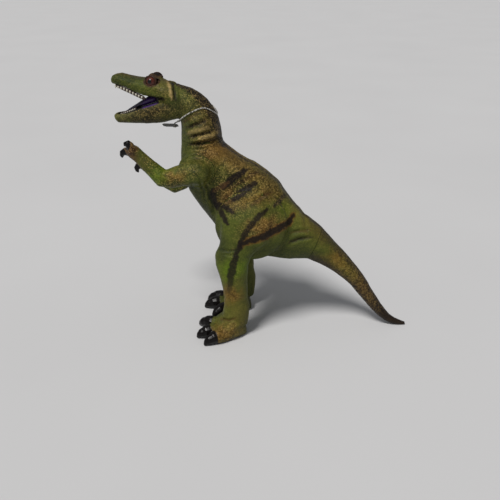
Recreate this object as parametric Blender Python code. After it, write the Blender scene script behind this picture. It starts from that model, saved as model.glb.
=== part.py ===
"""Standing toy dinosaur: hollow soft-vinyl shells that plug together and swivel.

The figure faces -X, its left side is -Y, and its soles rest on Z = 0.
All lengths are metres. Lists of shares are multiples of the named sizes beside them.
"""
import math

import bmesh
import bpy
from mathutils import Matrix, Vector

# Trunk, hung on the hip pivots
hip_height = 0.152
hip_setback = -0.027
trunk_length = 0.1405
trunk_drop = 0.1325
trunk_depth = 0.107
trunk_width = 0.062
neck_radius = 0.0245
tail_root_radius = 0.0230
tail_lean = 67.0
hip_proud = 0.0004
shoulder_sunk = 0.0008
hip_along_share = 0.402
hip_down_share = 0.7544
shoulder_along_share = -0.010
shoulder_down_share = 0.228

# Shells and plug joints
trunk_wall = 0.0026
limb_wall = 0.0024
joint_gap = 0.0003
plate_thickness = 0.006
flange_thickness = 0.0022
flange_lip = 0.0028
lip_room = 0.0008
land_proud = 0.0006
plug_wall = 0.0026
neck_plug_radius = 0.0140
tail_plug_radius = 0.0140
hip_land_radius = 0.0290
hip_plug_radius = 0.0130
shoulder_land_radius = 0.0155
shoulder_plug_radius = 0.0060
overrun = 0.004
land_depth_share = 0.25
trim_reach_share = 0.25
hollow_start_share = 0.07

# Tail, which droops until its tip touches the floor
tail_length = 0.1295
tail_width_share = 1.0
tail_floor_reach_share = 2.0

# Leg and foot
thigh_depth = 0.063
thigh_thickness = 0.029
right_leg_setback = 0.003
foot_length = 0.043
foot_width = 0.0445
foot_height = 0.030
foot_heel_forward = 0.004
foot_heel_in = 0.0004
left_foot_turn_out = 21.0
right_foot_turn_out = -11.0
toe_length = 0.022
toe_radius = 0.0091
sole_trim = 0.0008
leg_hollow_out_share = 0.11
leg_hollow_slim_share = 0.20
leg_hollow_wall_share = 2.0

# Arm and hand
arm_reach = 0.080
arm_radius = 0.0148
finger_radius = 0.0053
right_arm_lowering = 26.0
right_elbow_drop = 0.020
right_elbow_forward = 0.017
right_arm_reach_share = 1.06
arm_out_share = 0.66
arm_land_share = 0.5
arm_flatten_share = 0.92
arm_hollow_flatten_share = 0.78
arm_hollow_out_share = 0.14

# Neck and head
neck_rise = 0.050
neck_forward = 0.0345
head_length = 0.0837
head_height = 0.053
head_width = 0.042
head_bottom_rise = 0.0182
nose_reach_share = 0.824
mouth_depth = 0.060
mouth_front = 0.0045
eye_radius = 0.0072
eye_bulge = 0.0036
eye_back_share = 0.602
eye_up_share = 0.990
eye_out_share = 0.392
brow_radius = 0.0077
brow_lift = 0.0008
brow_long_share = 1.15
brow_thick_share = 0.72

# Teeth and tongue
tooth_length = 0.0042
tooth_radius = 0.00105
teeth_per_side = 12
gum_height = 0.0026
gum_thickness = 0.0016
gum_seat = 0.0011
gum_inset_share = 0.10
tooth_root_share = 0.35
tooth_tip_share = 0.12
short_tooth_share = 0.80
lower_tooth_share = 0.62
teeth_start_share = 0.03
upper_teeth_end_share = 0.60
lower_teeth_end_share = 0.52
tongue_width = 0.017
tongue_thickness = 0.0092

# Hang tag
cord_radius = 0.0007
cord_rest = 0.0007
cord_lead = 0.0165
cord_loop_points = 40
tag_length = 0.0185
tag_width = 0.013
tag_thickness = 0.0006
tag_hole_radius = 0.0016
tag_tilt = 28.0
tag_corner = 0.002
knot_share = 1.2
tag_hole_edge_share = 2.0

# How boxy each kind of outline is
round_power = 2.0
limb_power = 2.2
trunk_power = 2.5
head_power = 2.6
mouth_power = 9.0
foot_power = 3.2

X_AXIS = Vector((1.0, 0.0, 0.0))
Y_AXIS = Vector((0.0, 1.0, 0.0))
Z_AXIS = Vector((0.0, 0.0, 1.0))
LEFT, RIGHT = -1, 1

for old in list(bpy.data.objects):
    bpy.data.objects.remove(old, do_unlink=True)
parts = bpy.data.collections.new("toy_dinosaur")
tools = bpy.data.collections.new("toy_dinosaur_cutters")
bpy.context.scene.collection.children.link(parts)
bpy.context.scene.collection.children.link(tools)


def material(name, colour, roughness):
    made = bpy.data.materials.new(name)
    made.use_nodes = True
    shader = made.node_tree.nodes["Principled BSDF"]
    shader.inputs["Base Color"].default_value = (*colour, 1.0)
    shader.inputs["Roughness"].default_value = roughness
    shader.inputs["Metallic"].default_value = 0.0
    return made


def add_object(name, bm, collection=tools, skin=None):
    mesh = bpy.data.meshes.new(name)
    bmesh.ops.recalc_face_normals(bm, faces=bm.faces[:])
    bm.to_mesh(mesh)
    bm.free()
    mesh.shade_smooth()
    made = bpy.data.objects.new(name, mesh)
    collection.objects.link(made)
    if collection is tools:
        made.hide_render = True
        made.display_type = "WIRE"
    if skin:
        mesh.materials.append(skin)
    return made


def boolean(target, other, operation):
    cut = target.modifiers.new(other.name, "BOOLEAN")
    cut.operation = operation
    cut.solver = "EXACT"
    cut.object = other


def smooth_rows(rows, steps):
    """Rows between rows, on a curve through all of them."""
    made = []
    for i in range(len(rows) - 1):
        before = rows[max(i - 1, 0)]
        after = rows[min(i + 2, len(rows) - 1)]
        for k in range(steps):
            t = k / steps
            made.append(tuple(
                0.5 * (2 * b + (c - a) * t + (2 * a - 5 * b + 4 * c - d) * t * t
                       + (3 * b - a - 3 * c + d) * t ** 3)
                for a, b, c, d in zip(before, rows[i], rows[i + 1], after)))
    made.append(tuple(rows[-1]))
    return made


def section(centre, up, side, half_up, half_side, power=2.0, sides=24):
    """A closed outline round centre: an ellipse at power 2, boxier above it."""
    points = []
    for i in range(sides):
        turn = 2 * math.pi * (i + 0.5) / sides
        c, s = math.cos(turn), math.sin(turn)
        u = math.copysign(abs(c) ** (2 / power), c) * half_up
        v = math.copysign(abs(s) ** (2 / power), s) * half_side
        points.append(centre + up * u + side * v)
    return points


def loft(name, rings, collection=tools, skin=None):
    bm = bmesh.new()
    loops = [[bm.verts.new(p) for p in ring] for ring in rings]
    for low, high in zip(loops, loops[1:]):
        for i in range(len(low)):
            j = (i + 1) % len(low)
            bm.faces.new((low[i], low[j], high[j], high[i]))
    bm.faces.new(loops[0])
    bm.faces.new(loops[-1])
    return add_object(name, bm, collection, skin)


def sweep(name, rows, side, sides=14, flatten=1.0):
    """A tube of changing radius through rows of (point, radius), all in the plane square to side."""
    rings = []
    for i, (point, radius) in enumerate(rows):
        ahead = rows[min(i + 1, len(rows) - 1)][0]
        behind = rows[max(i - 1, 0)][0]
        up = side.cross((ahead - behind).normalized())
        rings.append(section(point, up, side, radius, radius * flatten, sides=sides))
    return loft(name, rings)


def rod(name, start, axis, length, radius, sides=24):
    """A cylinder from start along axis."""
    bm = bmesh.new()
    bmesh.ops.create_cone(bm, cap_ends=True, segments=sides, radius1=radius, radius2=radius,
                          depth=length)
    turn = Z_AXIS.rotation_difference(axis).to_matrix().to_4x4()
    move = Matrix.Translation(start + axis * (length / 2)) @ turn
    bmesh.ops.transform(bm, matrix=move, verts=bm.verts[:])
    return add_object(name, bm)


def box(name, low, high):
    bm = bmesh.new()
    bmesh.ops.create_cube(bm, size=1.0)
    size = high - low
    move = Matrix.Translation((low + high) / 2) @ Matrix.Diagonal((*size, 1.0))
    bmesh.ops.transform(bm, matrix=move, verts=bm.verts[:])
    return add_object(name, bm)


def ball(name, centre, radii, sides=20, rings=12):
    bm = bmesh.new()
    bmesh.ops.create_uvsphere(bm, u_segments=sides, v_segments=rings, radius=1.0)
    move = Matrix.Translation(centre) @ Matrix.Diagonal((*radii, 1.0))
    bmesh.ops.transform(bm, matrix=move, verts=bm.verts[:])
    return add_object(name, bm)


def lean_direction(degrees):
    angle = math.radians(degrees)
    return Vector((math.cos(angle), 0.0, math.sin(angle)))


def add_plug(target, name, face, outward, plug_radius):
    """The moulded neck and lip that snap through a plate of the trunk, with an open bore."""
    neck_length = plate_thickness + 2 * joint_gap
    seat = face + outward * (joint_gap + overrun)
    stem = rod(name + "_stem", seat, -outward, overrun + neck_length + flange_thickness, plug_radius)
    lip_start = face - outward * (plate_thickness + joint_gap)
    lip = rod(name + "_lip", lip_start, -outward, flange_thickness, plug_radius + flange_lip)
    bore_start = face + outward * (joint_gap + overrun + limb_wall)
    bore_length = overrun + limb_wall + neck_length + flange_thickness + overrun
    bore = rod(name + "_bore", bore_start, -outward, bore_length, plug_radius - plug_wall)
    boolean(target, stem, "UNION")
    boolean(target, lip, "UNION")
    boolean(target, bore, "DIFFERENCE")


def vinyl(name):
    return material(name + "_vinyl", (0.20, 0.24, 0.06), 0.38)


# Places that everything else hangs from
hip_x = hip_setback
hip_half_span = trunk_width / 2 + hip_proud
shoulder_half_span = trunk_width / 2 - shoulder_sunk
neck_face = Vector((hip_x - hip_along_share * trunk_length, 0.0, hip_height + hip_down_share * trunk_drop))
tail_face = neck_face + Vector((trunk_length, 0.0, -trunk_drop))
tail_axis = lean_direction(tail_lean - 90.0)
shoulder_x = neck_face.x + shoulder_along_share * trunk_length
shoulder_z = neck_face.z - shoulder_down_share * trunk_drop

# Along and down the trunk from the neck joint, then depth, width and lean in degrees
trunk_section_shares = [
    (0.010, 0.050, 0.486, 0.790, 2),
    (0.030, 0.100, 0.560, 0.860, 3),
    (0.078, 0.185, 0.690, 0.920, 4),
    (0.145, 0.280, 0.840, 0.960, 8),
    (0.230, 0.400, 0.945, 0.985, 13),
    (0.315, 0.500, 0.985, 1.000, 15),
    (0.390, 0.620, 0.965, 0.990, 18),
    (0.500, 0.780, 0.935, 0.960, 26),
    (0.620, 0.890, 0.860, 0.910, 35),
    (0.765, 0.948, 0.692, 0.840, 43),
    (0.890, 0.978, 0.545, 0.800, 54),
]


def trunk_rings(inset, end_inset, steps, sides, power):
    neck_end = neck_face - Z_AXIS * end_inset
    tail_end = tail_face - tail_axis * end_inset
    rows = [(neck_end.x, neck_end.z, neck_radius - inset, neck_radius - inset, 0.0,
             round_power)]
    for along, down, depth, width, lean in trunk_section_shares:
        if inset and down < hollow_start_share:
            continue
        rows.append((neck_face.x + along * trunk_length, neck_face.z - down * trunk_drop,
                     depth * trunk_depth / 2 - inset, width * trunk_width / 2 - inset, lean, power))
    rows.append((tail_end.x, tail_end.z, tail_root_radius - inset, tail_root_radius - inset,
                 tail_lean, round_power))
    return [section(Vector((x, 0.0, z)), lean_direction(lean), Y_AXIS, depth, width, shape, sides)
            for x, z, depth, width, lean, shape in smooth_rows(rows, steps)]


def build_trunk():
    trunk = loft("torso_shell", trunk_rings(0.0, 0.0, 1, 28, trunk_power), parts, vinyl("torso"))
    hollow = loft("torso_hollow", trunk_rings(trunk_wall, plate_thickness, 1, 16, trunk_power))
    boolean(trunk, hollow, "DIFFERENCE")
    for side, name in ((LEFT, "left"), (RIGHT, "right")):
        out = Y_AXIS * side
        joints = (("hip", hip_x, hip_height, hip_half_span, hip_land_radius, hip_plug_radius),
                  ("shoulder", shoulder_x, shoulder_z, shoulder_half_span, shoulder_land_radius,
                   shoulder_plug_radius))
        for joint, x, z, span, land, plug in joints:
            face = Vector((x, side * span, z))
            label = name + "_" + joint
            plate = rod(label + "_plate", face - out * plate_thickness, out, plate_thickness, land)
            trim = rod(label + "_trim", face, out, trunk_width * trim_reach_share,
                       land + 2 * joint_gap)
            hole = rod(label + "_hole", face - out * (plate_thickness + overrun), out,
                       plate_thickness + 2 * overrun, plug + joint_gap)
            room = rod(label + "_lip_room", face - out * (plate_thickness + joint_gap / 3), -out,
                       flange_thickness + 2 * joint_gap, plug + flange_lip + lip_room)
            boolean(trunk, plate, "UNION")
            boolean(trunk, trim, "DIFFERENCE")
            boolean(trunk, hole, "DIFFERENCE")
            boolean(trunk, room, "DIFFERENCE")
    for label, face, out, plug in (("neck", neck_face, Z_AXIS, neck_plug_radius),
                                   ("tail", tail_face, tail_axis, tail_plug_radius)):
        hole = rod(label + "_hole", face - out * (plate_thickness + overrun), out,
                   plate_thickness + 2 * overrun, plug + joint_gap)
        boolean(trunk, hole, "DIFFERENCE")


# Along the tail and down it from its joint, radius over the root's, and lean in degrees
tail_section_shares = [
    (0.150, 0.125, 0.765, 56),
    (0.300, 0.262, 0.600, 49),
    (0.453, 0.432, 0.472, 42),
    (0.573, 0.610, 0.392, 38),
    (0.685, 0.772, 0.322, 41),
    (0.807, 0.912, 0.250, 52),
    (0.917, 0.970, 0.178, 72),
    (1.000, 0.985, 0.075, 84),
]


def tail_rings(inset, start, steps, sides, last):
    into = (start - tail_face).length / (tail_section_shares[0][0] * tail_length)
    first_girth = 1.0 - (1.0 - tail_section_shares[0][2]) * min(1.0, into) if inset else 1.0
    rows = [(start.x, start.z, first_girth * tail_root_radius - inset, tail_lean)]
    for along, down, girth, lean in tail_section_shares[:last]:
        rows.append((tail_face.x + along * tail_length, tail_face.z * (1.0 - down),
                     girth * tail_root_radius - inset, lean))
    return [section(Vector((x, 0.0, z)), lean_direction(lean), Y_AXIS, radius,
                    radius * tail_width_share, sides=sides)
            for x, z, radius, lean in smooth_rows(rows, steps)]


def build_tail():
    start = tail_face + tail_axis * joint_gap
    tail = loft("tail_shell", tail_rings(0.0, start, 2, 18, None), parts, vinyl("tail"))
    hollow_start = start + tail_axis * plate_thickness
    boolean(tail, loft("tail_hollow", tail_rings(limb_wall, hollow_start, 2, 12, 5)), "DIFFERENCE")
    add_plug(tail, "tail_plug", tail_face, tail_axis, tail_plug_radius)
    floor = box("tail_floor", Vector((tail_face.x, -trunk_width, -trunk_width)),
                Vector((tail_face.x + tail_floor_reach_share * tail_length, trunk_width, 0.0)))
    boolean(tail, floor, "DIFFERENCE")


# Height over the hip's, forward of the hip, depth, way out from the hip plane and thickness
leg_section_shares = [
    (1.225, 0.000, 0.340, 0.130, 0.160),
    (1.180, 0.000, 0.720, 0.185, 0.420),
    (1.090, -0.008, 0.955, 0.220, 0.790),
    (0.990, 0.000, 1.000, 0.250, 0.940),
    (0.900, 0.040, 0.940, 0.285, 1.000),
    (0.845, 0.125, 0.830, 0.310, 0.990),
    (0.790, 0.240, 0.745, 0.400, 0.950),
    (0.700, 0.275, 0.650, 0.455, 0.870),
    (0.590, 0.250, 0.560, 0.440, 0.820),
    (0.475, 0.225, 0.505, 0.370, 0.790),
    (0.375, 0.205, 0.480, 0.310, 0.790),
    (0.290, 0.190, 0.530, 0.270, 0.830),
    (0.190, 0.225, 0.560, 0.240, 0.930),
    (0.110, 0.235, 0.520, 0.220, 0.980),
]
# Along the foot from the heel, half width and height
foot_section_shares = [
    (-0.03, 0.40, 0.32),
    (0.06, 0.62, 0.70),
    (0.26, 0.86, 1.00),
    (0.50, 1.00, 0.90),
    (0.74, 1.02, 0.64),
    (0.92, 0.84, 0.45),
    (1.02, 0.55, 0.28),
]
# Along a toe, its radius and the height of its middle, over the toe's length and radius
toe_section_shares = [
    (-0.35, 0.90, 0.85),
    (0.00, 1.02, 0.98),
    (0.28, 1.00, 1.05),
    (0.50, 0.90, 1.00),
    (0.60, 0.78, 0.90),
    (0.76, 0.68, 0.80),
    (0.90, 0.46, 0.56),
    (1.02, 0.16, 0.20),
]
# Where each toe starts on the foot (along, across), the way it points, and its length
toe_place_shares = [
    (0.80, 0.70, 12.0, 1.12),
    (0.97, 0.06, 0.0, 1.00),
    (0.84, -0.66, -36.0, 1.02),
]


def build_leg(side, name):
    out = Y_AXIS * side
    hip_face = Vector((hip_x, side * hip_half_span, hip_height))
    setback = right_leg_setback if side == RIGHT else 0.0
    foot_setback = 1.0 - leg_section_shares[-1][0]
    rows = []
    for height, forward, depth, middle, thick in leg_section_shares:
        shift = setback * min(1.0, max(0.0, 1.0 - height) / foot_setback)
        rows.append((hip_x - forward * thigh_depth + shift, hip_height * height,
                     hip_half_span + joint_gap + middle * thigh_thickness,
                     depth * thigh_depth / 2, thick * thigh_thickness / 2))
    rings = [section(Vector((x, side * y, z)), X_AXIS, Y_AXIS, depth, thick, limb_power, 20)
             for x, z, y, depth, thick in rows]
    leg = loft(name + "_leg_shell", rings, parts, vinyl(name + "_leg"))

    turn = math.radians(right_foot_turn_out if side == RIGHT else left_foot_turn_out)
    toward = Vector((-math.cos(turn), side * math.sin(turn), 0.0))
    across = Vector((math.sin(turn), side * math.cos(turn), 0.0))
    heel = Vector((hip_x - foot_heel_forward + setback, side * (hip_half_span - foot_heel_in), 0.0))
    foot_rings = []
    for along, width, height in foot_section_shares:
        half = (height * foot_height + sole_trim) / 2
        middle = heel + toward * (along * foot_length) + Z_AXIS * (half - sole_trim)
        foot_rings.append(section(middle, Z_AXIS, across, half, width * foot_width / 2,
                                  foot_power, 16))
    boolean(leg, loft(name + "_foot", foot_rings), "UNION")
    for number, (along, over, angle, length) in enumerate(toe_place_shares):
        root = heel + toward * (along * foot_length) + across * (over * foot_width / 2)
        bearing = math.radians(angle)
        ahead = toward * math.cos(bearing) + across * math.sin(bearing)
        level = Z_AXIS.cross(ahead)
        toe = [(root + ahead * (far * toe_length * length)
                + Z_AXIS * (lift * toe_radius - sole_trim), girth * toe_radius)
               for far, girth, lift in toe_section_shares]
        boolean(leg, sweep(name + "_toe_" + str(number + 1), toe, level, 10), "UNION")

    reach = foot_length + thigh_depth
    trim_face = side * (hip_half_span + joint_gap + land_proud)
    inner = box(name + "_leg_inner_trim",
                Vector((hip_x - reach, min(0.0, trim_face), hip_height / 2)),
                Vector((hip_x + reach, max(0.0, trim_face), 2 * hip_height)))
    boolean(leg, inner, "DIFFERENCE")
    land = rod(name + "_hip_land", hip_face + out * joint_gap, out,
               thigh_thickness * land_depth_share, hip_land_radius)
    boolean(leg, land, "UNION")
    hollow_rows = []
    for height, forward, depth, middle, thick in leg_section_shares[3:12]:
        shift = setback * min(1.0, max(0.0, 1.0 - height) / foot_setback)
        hollow_rows.append((hip_x - forward * thigh_depth + shift, hip_height * height,
                            hip_half_span + joint_gap + (middle + leg_hollow_out_share) * thigh_thickness,
                            depth * thigh_depth / 2 - leg_hollow_wall_share * limb_wall,
                            (thick - leg_hollow_slim_share) * thigh_thickness / 2 - limb_wall))
    hollow = loft(name + "_leg_hollow",
                  [section(Vector((x, side * y, z)), X_AXIS, Y_AXIS, depth, thick, round_power, 12)
                   for x, z, y, depth, thick in hollow_rows])
    boolean(leg, hollow, "DIFFERENCE")
    add_plug(leg, name + "_hip_plug", hip_face, out, hip_plug_radius)
    floor = box(name + "_floor", Vector((hip_x - 2 * reach, -2 * reach, -reach)),
                Vector((hip_x + 2 * reach, 2 * reach, 0.0)))
    boolean(leg, floor, "DIFFERENCE")


# Forward of the shoulder and up from it over the arm's reach, and radius over the arm's
arm_section_shares = [
    (-0.190, 0.035, 0.240),
    (-0.150, 0.030, 0.640),
    (-0.065, 0.012, 0.970),
    (0.085, -0.012, 0.990),
    (0.250, -0.050, 0.860),
    (0.400, -0.095, 0.770),
    (0.515, -0.088, 0.735),
    (0.610, 0.012, 0.650),
    (0.710, 0.112, 0.590),
    (0.825, 0.225, 0.535),
    (0.905, 0.300, 0.560),
    (0.965, 0.350, 0.450),
    (0.995, 0.375, 0.220),
]
# Two fingers: forward and up over the arm's reach, radius over the finger's
finger_section_shares = [
    [(0.905, 0.300, 1.00), (0.915, 0.360, 0.96), (0.935, 0.405, 0.95), (0.965, 0.430, 0.85),
     (1.000, 0.425, 0.55), (1.015, 0.395, 0.16)],
    [(0.900, 0.275, 1.05), (0.980, 0.282, 1.00), (1.045, 0.285, 0.90), (1.085, 0.262, 0.74),
     (1.100, 0.222, 0.48), (1.094, 0.188, 0.16)],
]
finger_spread_shares = [0.30, -0.30]


def build_arm(side, name, lowering, elbow_drop, elbow_forward, reach_share):
    out = Y_AXIS * side
    face = Vector((shoulder_x, side * shoulder_half_span, shoulder_z))
    middle = side * (shoulder_half_span + joint_gap + arm_radius * arm_out_share)
    reach = arm_reach * reach_share
    drop = math.radians(lowering)

    def place(forward, up, spread=0.0):
        bend = math.sin(math.pi * min(1.0, max(0.0, forward)))
        out_along = forward * reach
        lift = up * reach - bend * elbow_drop
        ahead = out_along * math.cos(drop) + lift * math.sin(drop)
        ahead += bend * elbow_forward
        rise = lift * math.cos(drop) - out_along * math.sin(drop)
        return Vector((shoulder_x - ahead, middle + side * spread * arm_radius, shoulder_z + rise))

    rows = [(place(forward, up), girth * arm_radius)
            for forward, up, girth in arm_section_shares]
    arm = sweep(name + "_arm_shell", rows, Y_AXIS, 16, arm_flatten_share)
    show_part(arm, vinyl(name + "_arm"))
    for number, (shares, spread) in enumerate(zip(finger_section_shares, finger_spread_shares)):
        finger = [(place(forward, up, spread), girth * finger_radius)
                  for forward, up, girth in shares]
        boolean(arm, sweep(name + "_finger_" + str(number + 1), finger, Y_AXIS, 8), "UNION")
    trim_face = side * (shoulder_half_span + joint_gap + land_proud)
    inner = box(name + "_arm_inner_trim",
                Vector((shoulder_x - 2 * reach, min(0.0, trim_face), shoulder_z - 2 * reach)),
                Vector((shoulder_x + 2 * reach, max(0.0, trim_face), shoulder_z + 2 * reach)))
    boolean(arm, inner, "DIFFERENCE")
    land = rod(name + "_shoulder_land", face + out * joint_gap, out, arm_radius * arm_land_share,
               shoulder_land_radius)
    boolean(arm, land, "UNION")
    hollow = [(place(forward, up, arm_hollow_out_share), girth * arm_radius - limb_wall)
              for forward, up, girth in arm_section_shares[2:9]]
    boolean(arm, sweep(name + "_arm_hollow", hollow, Y_AXIS, 10, arm_hollow_flatten_share),
            "DIFFERENCE")
    add_plug(arm, name + "_shoulder_plug", face, out, shoulder_plug_radius)


# The neck: forward and up from its joint, radius over the joint's, and lean in degrees
neck_section_shares = [
    (0.000, 0.000, 1.000, 0),
    (0.000, 0.120, 0.992, 4),
    (0.045, 0.440, 0.940, 10),
    (0.262, 0.735, 0.825, 28),
    (0.610, 0.895, 0.755, 52),
    (1.000, 0.950, 0.690, 80),
]
# Along the head from the nose, then top and lip over its height, and width over its own
skull_section_shares = [
    (0.010, 0.990, 0.875, 0.270),
    (0.040, 1.038, 0.858, 0.430),
    (0.107, 1.062, 0.828, 0.548),
    (0.203, 1.048, 0.790, 0.620),
    (0.358, 1.002, 0.670, 0.740),
    (0.478, 0.980, 0.605, 0.850),
    (0.573, 0.990, 0.580, 0.920),
    (0.705, 0.960, 0.560, 0.976),
    (0.848, 0.868, 0.300, 1.000),
    (0.968, 0.775, 0.160, 0.950),
    (1.040, 0.670, 0.255, 0.760),
]
jaw_section_shares = [
    (0.000, 0.195, 0.115, 0.260),
    (0.030, 0.212, 0.050, 0.420),
    (0.060, 0.228, 0.008, 0.480),
    (0.143, 0.275, 0.000, 0.550),
    (0.346, 0.400, 0.000, 0.676),
    (0.502, 0.480, 0.000, 0.810),
    (0.621, 0.550, 0.010, 0.880),
    (0.729, 0.582, 0.038, 0.950),
    (0.848, 0.600, 0.094, 0.976),
    (0.990, 0.560, 0.140, 0.857),
]
# Along the mouth over its depth, then palate and floor over the head's height, and width
mouth_section_shares = [
    (0.000, 0.895, 0.130, 0.271),
    (0.075, 0.880, 0.170, 0.400),
    (0.208, 0.846, 0.235, 0.486),
    (0.425, 0.745, 0.340, 0.586),
    (0.592, 0.670, 0.400, 0.676),
    (0.742, 0.645, 0.455, 0.738),
    (0.875, 0.625, 0.505, 0.714),
    (0.942, 0.610, 0.528, 0.571),
]
skull_hollow_shares = [
    (0.250, 0.960, 0.885, 0.330),
    (0.440, 0.905, 0.775, 0.310),
    (0.585, 0.900, 0.735, 0.270),
    (0.776, 0.830, 0.625, 0.440),
    (0.920, 0.725, 0.330, 0.600),
]
nose = Vector((neck_face.x - neck_forward - head_length * nose_reach_share, 0.0,
               neck_face.z + head_bottom_rise))


def head_row(along, top, bottom, width, shape):
    """One upright section of the head from its shares."""
    middle = Vector((nose.x + along * head_length, 0.0, nose.z + (top + bottom) / 2 * head_height))
    return section(middle, Z_AXIS, Y_AXIS, (top - bottom) / 2 * head_height, width * head_width / 2,
                   shape, 20)


def mouth_row(along):
    """Place along the head, palate, floor and half width of the mouth, read between its rows."""
    rows = smooth_rows(mouth_section_shares, 4)
    for low, high in zip(rows, rows[1:]):
        if along <= high[0] or high is rows[-1]:
            t = (along - low[0]) / (high[0] - low[0])
            palate, bottom, width = (a + (b - a) * t for a, b in zip(low[1:], high[1:]))
            x = nose.x + mouth_front + along * mouth_depth
            return (x, nose.z + palate * head_height, nose.z + bottom * head_height,
                    width * head_width / 2)
    raise ValueError(along)


def eye_centre(side):
    return Vector((nose.x + eye_back_share * head_length,
                   side * (head_width * eye_out_share - eye_radius + eye_bulge),
                   nose.z + eye_up_share * head_height))


def build_head():
    neck_rows = []
    for forward, rise, girth, lean in neck_section_shares:
        lift = joint_gap if rise == 0.0 else 0.0
        neck_rows.append((neck_face.x - forward * neck_forward, neck_face.z + rise * neck_rise + lift,
                          girth * neck_radius, lean))
    rings = [section(Vector((x, 0.0, z)), lean_direction(lean), Y_AXIS, radius, radius,
                     round_power, 24)
             for x, z, radius, lean in smooth_rows(neck_rows, 2)]
    head = loft("head_shell", rings, parts, vinyl("head"))
    skull = loft("skull", [head_row(a, top, low, w, head_power)
                           for a, top, low, w in skull_section_shares])
    jaw = loft("jaw", [head_row(a, top, low, w, head_power)
                       for a, top, low, w in jaw_section_shares])
    boolean(head, skull, "UNION")
    boolean(head, jaw, "UNION")
    for side, name in ((LEFT, "left"), (RIGHT, "right")):
        brow_centre = eye_centre(side) - Y_AXIS * side * (eye_bulge + joint_gap) + Z_AXIS * brow_lift
        brow = ball(name + "_brow", brow_centre,
                    (brow_radius * brow_long_share, brow_radius * brow_thick_share, brow_radius), 14, 8)
        boolean(head, brow, "UNION")
    mouth_rings = []
    for share in mouth_section_shares:
        x, palate, bottom, width = mouth_row(share[0])
        mouth_rings.append(section(Vector((x, 0.0, (palate + bottom) / 2)), Z_AXIS, Y_AXIS,
                                   (palate - bottom) / 2, width, mouth_power, 16))
    boolean(head, loft("mouth", mouth_rings), "DIFFERENCE")
    hollow_start = neck_face + Z_AXIS * (joint_gap + plate_thickness)
    hollow_rows = [(hollow_start.x, hollow_start.z, neck_radius - limb_wall, 0.0)]
    for forward, rise, girth, lean in neck_section_shares[2:5]:
        hollow_rows.append((neck_face.x - forward * neck_forward, neck_face.z + rise * neck_rise,
                            girth * neck_radius - limb_wall, lean))
    neck_hollow = loft("neck_hollow", [section(Vector((x, 0.0, z)), lean_direction(lean), Y_AXIS,
                                               radius, radius, round_power, 14)
                                       for x, z, radius, lean in hollow_rows])
    boolean(head, neck_hollow, "DIFFERENCE")
    boolean(head, loft("skull_hollow", [head_row(a, top, low, w, round_power)
                                        for a, top, low, w in skull_hollow_shares]), "DIFFERENCE")
    for side, name in ((LEFT, "left"), (RIGHT, "right")):
        socket_radius = eye_radius + joint_gap
        socket = ball(name + "_socket", eye_centre(side), (socket_radius,) * 3, 18, 10)
        boolean(head, socket, "DIFFERENCE")
        eye = ball(name + "_eye", eye_centre(side), (eye_radius,) * 3, 18, 10)
        show_part(eye, material(name + "_eye_gloss", (0.10, 0.02, 0.01), 0.08))
    add_plug(head, "neck_plug", neck_face, Z_AXIS, neck_plug_radius)


def show_part(made, skin):
    """Move a finished piece from the cutters to the parts."""
    tools.objects.unlink(made)
    parts.objects.link(made)
    made.hide_render = False
    made.display_type = "TEXTURED"
    made.data.materials.append(skin)


def build_teeth(name, start, finish, count, direction, size_share):
    """A gum strip round the jaw's inner edge, with a row of cones on it."""
    path = []
    for side in (LEFT, RIGHT):
        run = []
        for i in range(count + 1):
            along = start + (finish - start) * i / count
            x, palate, bottom, width = mouth_row(along)
            inset = joint_gap + gum_thickness / 2 + width * gum_inset_share
            base = palate if direction < 0 else bottom
            z = base + direction * (gum_seat + gum_height / 2)
            run.append(Vector((x, side * (width - inset), z)))
        path += run[::-1] if side == LEFT else run
    rings = []
    for i, point in enumerate(path):
        ahead = path[min(i + 1, len(path) - 1)]
        behind = path[max(i - 1, 0)]
        along = (ahead - behind).normalized()
        across = along.cross(Z_AXIS).normalized()
        rings.append(section(point, Z_AXIS, across, gum_height / 2, gum_thickness / 2, 3.0, 6))
    gum = loft(name, rings, parts, material(name + "_white", (0.80, 0.78, 0.70), 0.35))
    bm = bmesh.new()
    for i, point in enumerate(path):
        if i in (0, len(path) - 1):
            continue
        length = tooth_length * size_share * (1.0 if i % 2 else short_tooth_share)
        root = gum_height * tooth_root_share
        cone = bmesh.ops.create_cone(bm, cap_ends=True, segments=5, radius1=tooth_radius,
                                     radius2=tooth_radius * tooth_tip_share, depth=length + root)["verts"]
        turn = Matrix.Rotation(math.pi if direction < 0 else 0.0, 4, "X")
        middle = point + Z_AXIS * direction * (gum_height / 2 + (length - root) / 2)
        bmesh.ops.transform(bm, matrix=Matrix.Translation(middle) @ turn, verts=cone)
    boolean(gum, add_object(name + "_cones", bm), "UNION")


# Along the mouth, width and thickness over the tongue's
tongue_section_shares = [
    (0.16, 0.30, 0.22),
    (0.20, 0.62, 0.36),
    (0.32, 0.88, 0.48),
    (0.48, 1.00, 0.72),
    (0.62, 1.00, 0.98),
    (0.74, 0.90, 0.92),
    (0.80, 0.66, 0.66),
    (0.83, 0.34, 0.40),
]


def build_tongue():
    rings = []
    for along, width, thick in smooth_rows(tongue_section_shares, 1):
        x, palate, bottom, mouth_half = mouth_row(along)
        half = thick * tongue_thickness / 2
        rings.append(section(Vector((x, 0.0, bottom + 2 * joint_gap + half)), Z_AXIS, Y_AXIS, half,
                             width * tongue_width / 2, limb_power, 12))
    loft("tongue", rings, parts, material("tongue_purple", (0.10, 0.04, 0.20), 0.35))


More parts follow.
